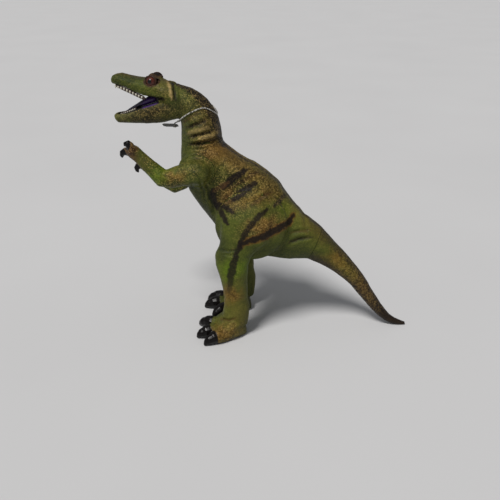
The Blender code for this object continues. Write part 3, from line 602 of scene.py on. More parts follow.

# Creases that are both moulded and painted, as lines in the photograph's pixels. The paint along the folds is
# painted shade; along the cheek's ridge it is a painted highlight.
creases = {
    "hip": [(259, 197), (266, 194), (273, 193)], "underTail": [(288, 243), (300, 239), (312, 237)],
    "tailRoot": [(290, 233), (300, 230.5), (310, 230)], "knee": [(220, 249), (228, 251.5), (236, 250.5)],
    "chest": [(199, 176), (203, 190), (206, 202)], "neckHigh": [(187, 128), (197, 124.5), (207, 120.5)],
    "neckMiddle": [(189, 137.5), (201, 135), (213, 130.5)],
    "neckLow": [(190, 145), (205, 142.5), (222, 136.5)],
    "ankle": [(221, 319), (229, 320.5), (236, 318)], "cheek": [(167, 80), (170, 88), (172, 99)],
}
# Folds and ridges, drawn where the photograph shows them and mirrored to the far side.
# Each has its line, its width in pixels and its depth as a share.
foldLines = {
    "folds": [
        (creases["hip"], 1.5, 0.9),
        (creases["underTail"], 1.7, 1.0),
        (creases["tailRoot"], 1.5, 0.7),
        (creases["knee"], 1.3, 0.6),
        ([(222, 254), (230, 255.5), (236, 254)], 1.2, 0.4),
        ([(204, 180), (209, 192), (213, 208), (216, 216)], 1.5, 0.8),
        (creases["chest"], 1.3, 0.6),
        ([(209, 186), (214, 200), (219, 214)], 1.2, 0.5),
        (creases["neckHigh"], 1.5, 0.9),
        (creases["neckMiddle"], 1.6, 1.1),
        (creases["neckLow"], 1.6, 1.1),
        ([(187, 166), (194, 170), (202, 169)], 1.4, 0.5),
        ([(181, 187), (188, 188), (195, 184)], 1.5, 0.7),
        (creases["ankle"], 1.3, 0.6),
        ([(222, 326), (230, 327), (238, 324)], 1.2, 0.5),
        ([(172.5, 80), (174, 88), (175.5, 100)], 1.2, 0.9),
        ([(150, 97), (157, 98.5), (164, 99.5)], 1.1, 0.8),
        ([(161, 173), (164, 180), (163, 187)], 1.3, 0.5),
        ([(300, 208), (305, 218), (306, 230)], 1.8, 0.5),
    ],
    "ridges": [
        (creases["cheek"], 1.6, 1.0),
        ([(121, 74), (132, 74.5), (144, 75.5)], 1.6, 0.6),
        ([(252, 172), (262, 180), (270, 190)], 5.0, 0.9),
        ([(278, 200), (284, 212), (284, 226)], 6.0, 0.8),
        ([(228, 160), (236, 166), (243, 172)], 4.0, 0.6),
        ([(162, 92), (166, 97)], 2.4, 0.7),
        ([(188, 132.5), (200, 130), (211, 125.5)], 2.6, 0.7),
        ([(190, 141), (203, 139), (216, 134)], 2.4, 0.7),
        ([(192, 121), (202, 116), (210, 115)], 2.6, 0.5),
        ([(113.5, 77), (116, 74.5), (121, 74)], 1.8, 0.4),
    ],
}
headSizes = {"nose": -0.18695, "floor": 0.270158, "high": 0.053, "wide": 0.042, "mouthDeep": 0.060,
             "mouthFront": 0.0045}
# The mouth from front to back: share of its depth, palate, floor and width
mouthRows = [(0.000, 0.895, 0.130, 0.271), (0.075, 0.880, 0.170, 0.400), (0.208, 0.846, 0.235, 0.486),
             (0.425, 0.745, 0.340, 0.586), (0.592, 0.670, 0.400, 0.676), (0.742, 0.645, 0.455, 0.738),
             (0.875, 0.625, 0.505, 0.714), (0.942, 0.610, 0.528, 0.571)]
mouthEdges = {"lips": (0.0016, 0.0004), "cheeks": (0.0012, 0.0002), "throat": (0.99, 1.03)}
armSizes = {"reach": 0.080, "lowered": 26.0, "stretch": 1.06, "drop": 0.020, "dropShare": 0.9,
            "forward": 0.017, "bend": 1.12}
# Claws of the hand: forward and up as shares of the reach, and size
handClaws = [(0.992, 0.424, 0.0072), (1.088, 0.240, 0.0085)]
handSizes = {"edge": 0.0012, "side": -0.028, "low": 0.19}
footSizes = {"heelX": -0.031, "heelY": 0.031, "long": 0.043, "wide": 0.0445, "toe": 0.022,
             "setback": 0.003, "turn": {-1: 21.0, 1: -11.0}, "clawWide": 0.0100, "clawTall": 0.0215,
             "farBlack": 0.05, "edge": (-0.0006, 0.0009)}
# Toes: along the foot, across it, bearing, length, and where the black starts
toePlaces = [(0.80, 0.70, 12.0, 1.12, 0.36), (0.97, 0.06, 0.0, 1.00, 0.20), (0.84, -0.66, -36.0, 1.02, 0.10)]


def mouthForm(along):
    # Heights of the palate and the floor, and half the width, at a share of the mouth's depth
    shares = np.array(mouthRows).T
    palate, bottom, width = [np.interp(along, shares[0], row) for row in shares[1:]]
    return (headSizes["floor"] + palate * headSizes["high"], headSizes["floor"] + bottom * headSizes["high"],
            width * headSizes["wide"] / 2)


def nearSide(points, normals):
    placed = points.copy()
    facing = normals.copy()
    far = points[:, 1] > 0
    # The right arm hangs lower, so its points are looked up where the left arm has them
    raised = far & armPart(points[:, 0], points[:, 1], points[:, 2])
    angle = math.radians(armSizes["lowered"])
    reach = armSizes["reach"] * armSizes["bend"]
    bend = np.sin(np.pi * np.clip((shoulders["x"] - points[raised, 0]) / reach, 0, 1))
    placed[raised, 0] += bend * armSizes["forward"]
    placed[raised, 2] += bend * armSizes["drop"] * armSizes["dropShare"]
    for values, centre, shrink in ((placed, (shoulders["x"], shoulders["z"]), armSizes["stretch"]),
                                   (facing, (0.0, 0.0), 1.0)):
        gone = values[raised][:, [0, 2]] - centre
        values[raised, 0] = centre[0] + (gone[:, 0] * math.cos(angle) + gone[:, 1] * math.sin(angle)) / shrink
        values[raised, 2] = centre[1] + (gone[:, 1] * math.cos(angle) - gone[:, 0] * math.sin(angle)) / shrink
        values[:, 1] = np.where(far, -values[:, 1], values[:, 1])
    toward = np.array(view["place"]) - placed
    toward /= np.linalg.norm(toward, axis=1)[:, None]
    return placed, photoPlace(placed), np.sum(toward * facing, axis=1)


def clawShare(placed, points):
    claws = np.zeros(len(points))
    for forward, up, size in handClaws:
        centre = np.array([shoulders["x"] - forward * armSizes["reach"],
                           shoulders["z"] + up * armSizes["reach"]])
        gap = np.linalg.norm(placed[:, [0, 2]] - centre, axis=1)
        claws = np.maximum(claws, fadeOut(gap, size - handSizes["edge"], size)
                           * (placed[:, 1] < handSizes["side"]) * (placed[:, 2] > handSizes["low"]))
    for side in (-1, 1):
        turn = math.radians(footSizes["turn"][side])
        toward = np.array([-math.cos(turn), side * math.sin(turn)])
        level = np.array([math.sin(turn), side * math.cos(turn)])
        heel = np.array([footSizes["heelX"] + (footSizes["setback"] if side > 0 else 0.0),
                         side * footSizes["heelY"]])
        for along, over, bearing, length, black in toePlaces:
            root = heel + toward * along * footSizes["long"] + level * over * footSizes["wide"] / 2
            bearing = math.radians(bearing)
            ahead = toward * math.cos(bearing) + level * math.sin(bearing)
            off = points[:, :2] - root
            lateral = np.abs(off[:, 0] * ahead[1] - off[:, 1] * ahead[0])
            start = (black if side < 0 else footSizes["farBlack"]) * footSizes["toe"] * length
            claws = np.maximum(claws, smoothStep(off @ ahead, *[start + e for e in footSizes["edge"]])
                               * (lateral < footSizes["clawWide"]) * (points[:, 2] < footSizes["clawTall"]))
    return claws


def mouthShare(points):
    along = (points[:, 0] - headSizes["nose"] - headSizes["mouthFront"]) / headSizes["mouthDeep"]
    palate, bottom, half = mouthForm(along)
    outer, inner = mouthEdges["lips"]
    inside = smoothStep(points[:, 2], bottom - outer, bottom - inner)
    inside = inside * fadeOut(points[:, 2], palate + inner, palate + outer)
    outer, inner = mouthEdges["cheeks"]
    inside = inside * fadeOut(np.abs(points[:, 1]), half + inner, half + outer)
    return inside * (along > 0.0) * fadeOut(along, *mouthEdges["throat"])


reliefSizes = {"fold": 0.0016, "ridge": 0.0015, "lip": 0.55, "sole": 0.0012, "swell": (0.017, 0.0009),
               "ripple": (0.007, 0.00035), "seen": (-0.05, 0.25)}
points = meshPoints(roughHide.data)
normals = meshNormals(roughHide.data)
placed, pixels, facing = nearSide(points, normals)
seen = smoothStep(facing, *reliefSizes["seen"])
bareSkin = (1.0 - clawShare(placed, points)) * (1.0 - mouthShare(points))
lift = np.zeros(len(points))
for seed, (width, tall) in ((3, reliefSizes["swell"]), (4, reliefSizes["ripple"])):
    lift += (latticeNoise(points, width, seed) - 0.5) * tall
for line, width, depth in foldLines["folds"]:
    gap, share = lineDistance(pixels, line)
    ends = smoothStep(share, -0.02, 0.22) * fadeOut(share, 0.78, 1.02)
    # A fold is a groove with a low lip beside it
    groove = reliefSizes["lip"] * np.exp(-((gap - 2.2 * width) / (1.3 * width)) ** 2)
    lift += seen * ends * depth * reliefSizes["fold"] * (groove - 1.0 * np.exp(-(gap / width) ** 2))
for line, width, depth in foldLines["ridges"]:
    gap, share = lineDistance(pixels, line)
    lift += seen * depth * reliefSizes["ridge"] * np.exp(-(gap / width) ** 2)
placePoints(roughHide.data, points + normals * (lift * bareSkin)[:, None])
setShare(roughHide.data, "relief", bareSkin * (points[:, 2] >= reliefSizes["sole"]))

# Raised scales, made by rule over the whole hide
scaleSizes = {"Per metre": 560.0, "Height": 0.00034}
rule, keys, (skin, perMetre, height) = newTree("scaleRelief", *scaleSizes)
outward = rule.node("GeometryNodeInputNormal")
share = rule.node("GeometryNodeInputNamedAttribute", {"data_type": "FLOAT"}, {"Name": "relief"})
cell = rule.cells(rule.node("GeometryNodeInputPosition"), perMetre)
offset = rule.node("ShaderNodeVectorMath", {"operation": "SCALE"},
                   {0: outward, "Scale": (0.42 - cell) * height * share})
endTree(rule, rule.node("GeometryNodeSetPosition", {}, {"Geometry": skin, "Offset": offset}), hide)
grown(roughHide, rule, keys, scaleSizes)
print("stage: scales raised")

# The hide is cut on the joints' planes, and each body gets its own closed piece
cutReach = {"hip": 0.074, "shoulder": 0.052, "neck": 0.048, "tail": 0.048}
cuts = []
for side in (-1, 1):
    cuts.append(((hips["x"], side * hips["split"], hips["z"]), (0, side, 0), cutReach["hip"]))
    cuts.append(((shoulders["x"], side * shoulders["split"], shoulders["z"]), (0, side, 0),
                 cutReach["shoulder"]))
cuts.append(((neck["x"], 0.0, neck["z"]), (0, 0, 1), cutReach["neck"]))
cuts.append((tail["place"], tail["axis"], cutReach["tail"]))
hideMesh = bmesh.new()
hideMesh.from_mesh(roughHide.data)
for place, axis, reach in cuts:
    co = np.array([v.co for v in hideMesh.verts])
    near = np.linalg.norm(co - np.array(place), axis=1) < reach
    chosen = [v for v, keep in zip(hideMesh.verts, near) if keep]
    # Keys of a dictionary keep their order, so each run gives the same mesh
    faces = list(dict.fromkeys(f for v in chosen for f in v.link_faces))
    lines = list(dict.fromkeys(e for f in faces for e in f.edges))
    corners = list(dict.fromkeys(v for f in faces for v in f.verts))
    bmesh.ops.bisect_plane(hideMesh, geom=corners + lines + faces, dist=0.00002, plane_co=place,
                           plane_no=axis)
co = np.array([v.co for v in hideMesh.verts])
hideMesh.verts.index_update()
faceLists = [[v.index for v in f.verts] for f in hideMesh.faces]
hideMesh.free()

# Where one body's hide ends and the next one's starts. The right foot's inner toe reaches past the
# middle plane, so the feet part beside that plane.
parting = {"armFront": -0.093, "armRound": 0.030, "forearmBack": -0.1115, "forearmHigh": 0.270,
           "forearmInner": 0.015, "footHigh": 0.090, "legHigh": 0.215, "thighFront": -0.068,
           "shoulderRound": 0.040, "shinHigh": 0.150, "tailFront": 0.040, "betweenFeet": -0.013}


def bodyOf(centres):
    cx, cy, cz = centres.T
    across = np.abs(cy)
    fromShoulder = np.hypot(cx - shoulders["x"], cz - shoulders["z"])
    isArm = ((across > shoulders["split"]) & (cz > limits["armLow"])
             & ((cx < parting["armFront"]) | (fromShoulder < parting["armRound"])))
    isArm |= ((cx < parting["forearmBack"]) & (cz < parting["forearmHigh"])
              & (across > parting["forearmInner"]))
    isLeg = (across > hips["split"]) | ((cz < parting["footHigh"]) & (cx < limits["legBack"]))
    isLeg &= ~isArm & (cz < parting["legHigh"])
    isLeg &= (((cx > parting["thighFront"]) & (fromShoulder > parting["shoulderRound"]))
              | (cz < parting["shinHigh"]))
    owner = np.full(len(centres), "torso", dtype=object)
    owner[(alongTail(cx, cz) > 0.0) & (cx > parting["tailFront"])] = "tail"
    owner[(cz > neck["z"]) & (across < limits["headSide"])] = "head"
    owner[isLeg & (cy < parting["betweenFeet"])] = "left_leg"
    owner[isLeg & (cy > parting["betweenFeet"])] = "right_leg"
    owner[isArm & (cy < 0)] = "left_arm"
    owner[isArm & (cy > 0)] = "right_arm"
    return owner


capWays = {"head": (0, 0, 1), "tail": tail["axis"], "left_arm": (0, -1, 0), "right_arm": (0, 1, 0),
           "left_leg": (0, -1, 0), "right_leg": (0, 1, 0)}
capSizes = {"parted": 0.00018, "inset": 0.0012, "narrowed": 0.05, "fewest": 12}


def capWay(body, centre):
    if body in capWays:
        return Vector(capWays[body])
    if abs(centre.y) > 0.02:
        return Vector((0.0, -math.copysign(1.0, centre.y), 0.0))
    if centre.z > 0.2:
        return Vector((0.0, 0.0, -1.0))
    return -Vector(tail["axis"])


def rimLoops(part):
    rims = dict.fromkeys(e for e in part.edges if len(e.link_faces) == 1)
    found = []
    while rims:
        queue = [next(iter(rims))]
        loop = dict.fromkeys(queue)
        while queue:
            for v in queue.pop().verts:
                for e in v.link_edges:
                    if e in rims and e not in loop:
                        loop[e] = None
                        queue.append(e)
        for e in loop:
            del rims[e]
        found.append(list(loop))
    return found


def capRims(part, body):
    for loop in rimLoops(part):
        ring = list(dict.fromkeys(v for e in loop for v in e.verts))
        centre = sum((v.co for v in ring), Vector()) / len(ring)
        inward = capWay(body, centre)
        for v in ring:
            v.co += inward * capSizes["parted"]
        if len(loop) < capSizes["fewest"]:
            bmesh.ops.triangle_fill(part, edges=loop, use_beauty=True)
            continue
        made = bmesh.ops.extrude_edge_only(part, edges=loop)["geom"]
        for v in made:
            if isinstance(v, bmesh.types.BMVert):
                v.co += inward * capSizes["inset"] + (centre - v.co) * capSizes["narrowed"]
        inner = [e for e in made if isinstance(e, bmesh.types.BMEdge)]
        bmesh.ops.triangle_fill(part, edges=inner, use_beauty=True)


owner = bodyOf(np.array([co[f].mean(0) for f in faceLists]))
hidePieces = {}
for body in shellNodes:
    faces = [f for f, name in zip(faceLists, owner) if name == body]
    used = np.unique(np.concatenate([np.array(f) for f in faces]))
    fresh = {int(old): new for new, old in enumerate(used)}
    part = bmesh.new()
    verts = [part.verts.new(co[i]) for i in used]
    for f in faces:
        part.faces.new([verts[fresh[i]] for i in f])
    part.verts.index_update()
    capRims(part, body)
    bmesh.ops.recalc_face_normals(part, faces=part.faces[:])
    if part.calc_volume(signed=True) < 0.0:
        bmesh.ops.reverse_faces(part, faces=part.faces[:])
    hidePieces[body] = finished(body + "Hide", part, hide)
    print("stage: hide of", body, len(hidePieces[body].data.vertices), "points")
bpy.data.objects.remove(roughHide, do_unlink=True)

# Paint: soft patches and marks on the photograph's plane, the same on both sides. A patch has its middle,
# width and height in pixels, its angle, colour and weight. A mark has its line, width, colour and weight.
paintColours = {
    "green": (0.080, 0.098, 0.013), "olive": (0.125, 0.108, 0.019), "golden": (0.225, 0.122, 0.026),
    # The darkest green stands for painted shade, in folds, under parts and on sides that face down or inward
    "orange": (0.215, 0.092, 0.014), "lime": (0.105, 0.172, 0.006), "deepGreen": (0.024, 0.034, 0.008),
    "brown": (0.075, 0.036, 0.012), "dark": (0.009, 0.005, 0.003), "grey": (0.170, 0.165, 0.060),
    "jaw": (0.048, 0.038, 0.009), "tan": (0.380, 0.270, 0.105), "blackBrown": (0.019, 0.012, 0.008),
    "fingers": (0.120, 0.056, 0.022), "snout": (0.032, 0.048, 0.007), "mouth": (0.006, 0.004, 0.003),
    "rump": (0.165, 0.160, 0.024), "maroon": (0.045, 0.016, 0.009),
    "purple": (0.052, 0.022, 0.115),
}
softPatches = [
    (200, 135, 26, 34, 0, "olive", 0.55), (208, 118, 9, 22, -18, "brown", 0.55),
    (186, 148, 8, 26, 0, "green", 0.9), (212, 152, 12, 10, 0, "golden", 0.9),
    (222, 150, 22, 12, 35, "golden", 0.7), (246, 172, 20, 9, 40, "golden", 0.6),
    (266, 184, 18, 8, 45, "golden", 0.5), (232, 186, 16, 14, 0, "brown", 0.3),
    (238, 178, 16, 4, -38, "olive", 0.5), (250, 192, 18, 5, -38, "green", 0.55),
    (228, 197, 10, 10, 0, "orange", 0.6), (226, 200, 10, 9, 0, "brown", 0.5),
    (250, 200, 16, 7, -30, "orange", 0.5),
    (268, 200, 16, 8, -30, "orange", 0.45), (264, 226, 17, 9, -12, "golden", 0.95),
    (258, 236, 18, 5, -10, "olive", 0.8), (288, 207, 8, 7, 0, "lime", 0.9),
    (303, 214, 20, 13, 35, "rump", 0.95), (205, 215, 12, 26, -25, "green", 0.8),
    # The darkest green patches here are painted shade: on the chest and the neck's front, the knee's front,
    # under the tail, at the heel and under the arm
    (204, 213, 8, 36, -27, "deepGreen", 0.8), (196, 160, 7, 22, 0, "deepGreen", 0.35),
    (184, 140, 6, 26, 0, "deepGreen", 0.5),
    (232, 271, 13, 10, 0, "lime", 0.95), (247, 268, 6, 11, 0, "lime", 0.5),
    (221, 250, 6, 14, 0, "deepGreen", 0.55),
    (285, 252, 30, 7, 0, "deepGreen", 0.6), (242, 288, 9, 14, 0, "green", 0.8),
    (270, 206, 15, 10, -30, "green", 0.5), (246, 212, 14, 6, -35, "green", 0.55),
    (231, 294, 10, 9, 0, "orange", 0.75), (240, 316, 12, 12, 0, "olive", 0.8),
    (244, 322, 6, 16, 0, "deepGreen", 0.4),
    (222, 334, 17, 9, -15, "golden", 0.95), (218, 335, 14, 7, 0, "orange", 0.6),
    (322, 232, 16, 12, 40, "olive", 0.8), (341, 261, 11, 12, 45, "orange", 0.95),
    (330, 268, 16, 6, 38, "brown", 0.75), (358, 284, 14, 12, 50, "brown", 0.75),
    (352, 272, 16, 7, 48, "orange", 0.6),
    (160, 176, 12, 11, 0, "lime", 0.8), (146, 163, 9, 8, 45, "olive", 0.6),
    (172, 178, 12, 8, 0, "golden", 0.35), (178, 184, 12, 8, 0, "green", 0.5),
    (176, 190, 14, 8, 0, "deepGreen", 0.65), (176, 176, 9, 5, -20, "golden", 0.6),
    (132, 150, 6, 7, 0, "fingers", 0.9),
]
headPatches = [
    # The snout's darker green is painted shade on the snout's side
    (128, 78, 22, 9, 8, "snout", 1.0), (150, 90, 16, 9, 10, "green", 0.9),
    # The two small grey spots at the eye are painted highlights
    (160, 84, 10, 9, 0, "olive", 0.55), (155.5, 86, 3.0, 1.8, 20, "grey", 0.9),
    (162.5, 88, 3.2, 2.6, 0, "grey", 0.85), (166, 92, 5, 7, 0, "olive", 0.8),
    (150, 112, 34, 9, -5, "jaw", 1.0), (124, 116, 12, 5, -5, "grey", 0.45),
    # The dark band along the lower jaw's bottom edge and the darker green behind the jaw's corner are painted
    # shade
    (146, 121, 30, 3.2, 0, "blackBrown", 0.75), (176, 104, 6, 12, 0, "deepGreen", 0.5),
    (120, 73, 14, 2.5, 6, "olive", 0.5),
]
dustPatches = [
    (236, 184, 32, 32, 40, 1.0), (262, 226, 26, 11, -14, 0.85), (232, 208, 16, 12, 30, 0.8),
    (205, 148, 16, 20, 0, 0.9), (200, 122, 14, 12, 0, 0.6), (188, 172, 14, 10, 0, 0.75),
    (222, 334, 22, 10, -15, 0.75), (150, 165, 13, 8, 45, 0.7), (340, 262, 26, 14, 42, 0.45),
    (200, 100, 26, 15, 45, 1.0), (214, 128, 12, 22, -20, 0.9), (262, 180, 40, 16, 45, 0.9),
    (172, 182, 18, 12, 0, 0.8), (132, 150, 8, 9, 0, 0.8), (235, 262, 5, 22, 0, 0.5),
    (231, 294, 10, 9, 0, 0.5),
    (150, 112, 34, 9, -5, 0.8), (160, 92, 16, 8, 10, 0.5), (124, 80, 16, 8, 10, 0.35),
]
hipStripe = [(293, 216), (288, 223), (276, 230), (262, 237), (250, 241), (241, 245)]
thighStripe = [(241, 243), (237.5, 250), (236, 257), (233, 266), (231, 276), (230, 290)]
# Shares along that stripe with its width at each, and the same for its weight
stripeWidths = ((0.0, 0.3, 0.6, 0.8, 1.0), (0.75, 0.8, 1.1, 0.95, 0.6))
stripeWeights = ((0.0, 0.8, 1.0), (1.0, 0.95, 0.6))
paintMarks = [
    ([(172, 79), (180, 81), (189, 87), (199, 95), (209, 106), (216, 118), (220, 132), (224, 144)], 5.4,
     "blackBrown", 0.85),
    # Dark lines in the neck's three creases: painted shade in the folds
    (creases["neckHigh"], 1.4, "blackBrown", 0.8),
    (creases["neckMiddle"], 1.5, "blackBrown", 0.8),
    (creases["neckLow"], 1.5, "blackBrown", 0.8),
    ([(188, 133), (200, 130), (208, 127)], 2.4, "tan", 0.45),
    ([(200, 139), (210, 136.5), (218, 133)], 2.2, "tan", 0.45),
    ([(190, 121), (199, 117), (206, 115)], 1.8, "olive", 0.8),
    ([(184, 122), (190, 118), (197, 113)], 1.2, "brown", 0.6),
    ([(223, 188), (232, 180), (245, 170)], 3.9, "dark", 0.97),
    ([(233, 187), (246, 179), (258, 171)], 1.8, "brown", 0.6),
    ([(234, 199.5), (244, 191), (256, 182.5)], 3.9, "dark", 0.97),
    ([(212, 190), (213, 199), (218, 208)], 3.8, "dark", 0.97),
    ([(219, 204), (226, 208), (233, 212)], 3.2, "dark", 0.95),
    ([(220, 211), (224, 217), (228, 224)], 2.8, "dark", 0.95),
    ([(214, 191), (221, 186), (228, 183)], 2.6, "brown", 0.85),
    ([(284, 195), (280, 200), (274, 206)], 2.2, "blackBrown", 0.85),
    ([(268, 194), (262, 199), (252, 204)], 1.5, "brown", 0.6),
    ([(267, 210), (258, 217), (250, 227), (244, 236), (240, 245)], 3.0, "dark", 0.92),
    (hipStripe, 4.4, "orange", 0.7),
    (hipStripe, 3.3, "dark", 0.96),
    (thighStripe, 3.6, "dark", 0.95),
    # The dark line under the upper lip and the one behind the cheek ridge are painted shadow; the tan along
    # the cheek ridge is a painted highlight
    ([(147, 97), (156, 98.6), (164, 99.4)], 1.5, "dark", 1.0),
    ([(171.5, 79), (173.5, 88), (175, 101)], 1.1, "dark", 0.85),
    (creases["cheek"], 1.2, "tan", 0.9),
    ([(112, 84), (125, 90.5), (139, 98.5)], 0.8, "dark", 0.5),
    # Lines along the creases of the hip, the tail's root, the chest, the shoulder, under the arm, the ankle
    # and the knee: painted shade in the folds
    (creases["hip"], 0.9, "brown", 0.8),
    (creases["underTail"], 1.1, "blackBrown", 0.75),
    (creases["tailRoot"], 0.8, "brown", 0.6),
    ([(204, 180), (209, 192), (213, 208)], 1.3, "deepGreen", 0.7),
    (creases["chest"], 1.2, "deepGreen", 0.6),
    ([(184, 166), (191, 169), (199, 168), (204, 176)], 2.2, "deepGreen", 0.75),
    ([(176, 190), (186, 190), (196, 186)], 2.0, "deepGreen", 0.7),
    (creases["ankle"], 0.9, "brown", 0.7),
    (creases["knee"], 0.9, "deepGreen", 0.7),
]
eyeLow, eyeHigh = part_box("left_eye")
eyeSizes = {"radius": (eyeHigh.z - eyeLow.z) / 2, "ring": 0.0096}
# Gold dust that a body has all over, before its patches
plainDust = {"torso": 0.14, "head": 0.20, "tail": 0.25}
limbDust = 0.08
# How far a surface may turn from the camera and still take the photograph's marks and patches
turned = {"marks": (0.0, 0.22), "patches": (-0.35, 0.15)}
# In pixels: bounds of the raised arm's patches, where patches are clear of it, and the head's lowest mark
armPixels = {"right": 182, "top": 140, "low": 200, "clear": 195, "headMarks": 150}
# Size of each blur, and how far it moves the loose and the tight edges in pixels
blurSizes = {"wide": (0.006, 7.0, 1.8), "fine": (0.0023, 2.2, 1.5), "grain": 0.0022}
# Zones: where each starts, where it is full and its weight. Those of bodyZones, and underside, dustEnd,
# crown, purpleBack and purpleTop, are full at the first number and gone at the second.
backZones = {"brown": (0.55, 0.95, 0.35), "line": (0.3, 0.7, 0.9), "lineWide": 0.0044}
tailZones = {"growing": [("rump", 0.012, 0.045, 0.5), ("brown", 0.055, 0.090, 0.85),
                         ("blackBrown", 0.095, 0.140, 0.9)],
             "top": (-0.02, 0.05, 0.75), "underside": (-0.7, 0.0, 0.8), "rings": (0.02, 0.06, 0.35),
             "ringsPerMetre": 520.0, "rootDust": (0.005, 0.045), "moreDust": (0.03, 0.08, 0.35),
             "dustEnd": (0.120, 0.150)}
headZones = {"nape": (-0.128, -0.112, 0.9), "napeWide": 0.0085, "crown": (-0.124, -0.112, 0.45),
             "crownWide": 0.006, "purpleFront": (-0.1515, -0.1480), "purpleBack": (-0.136, -0.128),
             "purpleTop": (0.2965, 0.2985)}
bodyZones = {"belly": (-0.85, -0.25, 0.6), "shin": (0.080, 0.115, 0.3), "innerLeg": (0.028, 0.034, 0.5),
             "sole": (0.0012, 0.0030, 0.9), "fingers": (-0.160, -0.146, 0.8)}


def laid(colours, colour, weight):
    return colours + (np.array(paintColours[colour]) - colours) * np.clip(weight, 0.0, 1.0)[:, None]


def rising(values, low, high, weight):
    return smoothStep(values, low, high) * weight


def fading(values, low, high, weight):
    return fadeOut(values, low, high) * weight


def paintBack(colours, points, normals, grain):
    upward = normals @ np.array([0.55, 0.0, 0.83])
    colours = laid(colours, "brown", rising(upward, *backZones["brown"]) + grain * 0.2)
    line = np.exp(-(points[:, 1] / (backZones["lineWide"] + grain * 0.003)) ** 2)
    return laid(colours, "blackBrown", line * rising(upward, *backZones["line"]))


def paintTail(colours, dust, points, normals, grain):
    far = np.hypot(points[:, 0] - tail["place"][0], points[:, 2] - tail["place"][2])
    upward = normals @ np.array([0.45, 0.0, 0.89])
    for colour, *zone in tailZones["growing"]:
        colours = laid(colours, colour, rising(far, *zone))
    over = smoothStep(upward + grain * 0.4, 0.45, 0.85)
    colours = laid(colours, "blackBrown", over * rising(far, *tailZones["top"]))
    # Darker on the tail's lower side: painted shade, over the darker paint there
    colours = laid(colours, "blackBrown", fading(upward, *tailZones["underside"]))
    rings = smoothStep(np.sin(far * tailZones["ringsPerMetre"] + grain * 2.0), 0.3, 0.9)
    colours = laid(colours, "blackBrown", rings * rising(far, *tailZones["rings"]))
    dust = plainDust["torso"] + (dust - plainDust["torso"]) * smoothStep(far, *tailZones["rootDust"])
    return colours, (dust + rising(far, *tailZones["moreDust"])) * fadeOut(far, *tailZones["dustEnd"])


def paintFace(colours, placed, points, normals):
    centre = np.array([(eyeLow.x + eyeHigh.x) / 2, (eyeLow.y + eyeHigh.y) / 2, (eyeLow.z + eyeHigh.z) / 2])
    gap = np.linalg.norm(placed - centre, axis=1)
    ring, radius = eyeSizes["ring"], eyeSizes["radius"]
    colours = laid(colours, "maroon", fading(gap, ring, ring + 0.001, 0.9))
    colours = laid(colours, "dark", fading(gap, radius, ring - 0.0006, 0.9))
    nape = np.exp(-(points[:, 1] / headZones["napeWide"]) ** 2)
    nape *= smoothStep(normals[:, 2] + normals[:, 0], 0.35, 0.9)
    colours = laid(colours, "blackBrown", nape * rising(points[:, 0], *headZones["nape"]))
    crown = np.exp(-(points[:, 1] / headZones["crownWide"]) ** 2) * smoothStep(normals[:, 2], 0.5, 0.9)
    return laid(colours, "brown", crown * fading(points[:, 0], *headZones["crown"]))


def paintMouth(colours, mouth, points):
    # The mouth's inside is near black: the dark paint of the mouth, with painted shade under the upper jaw;
    # the front of its floor is purple
    colours = laid(colours, "mouth", mouth)
    floorShare = mouth * smoothStep(points[:, 0], *headZones["purpleFront"])
    floorShare *= fadeOut(points[:, 0], *headZones["purpleBack"])
    return laid(colours, "purple", floorShare * fadeOut(points[:, 2], *headZones["purpleTop"]))


def isForBody(body, u, v):
    # The patches of the raised arm lie over the neck's in the photograph, so each keeps to its body
    onArm = u < armPixels["right"] and armPixels["top"] < v < armPixels["low"]
    return body.endswith("arm") == onArm or u > armPixels["clear"] or v < armPixels["top"]


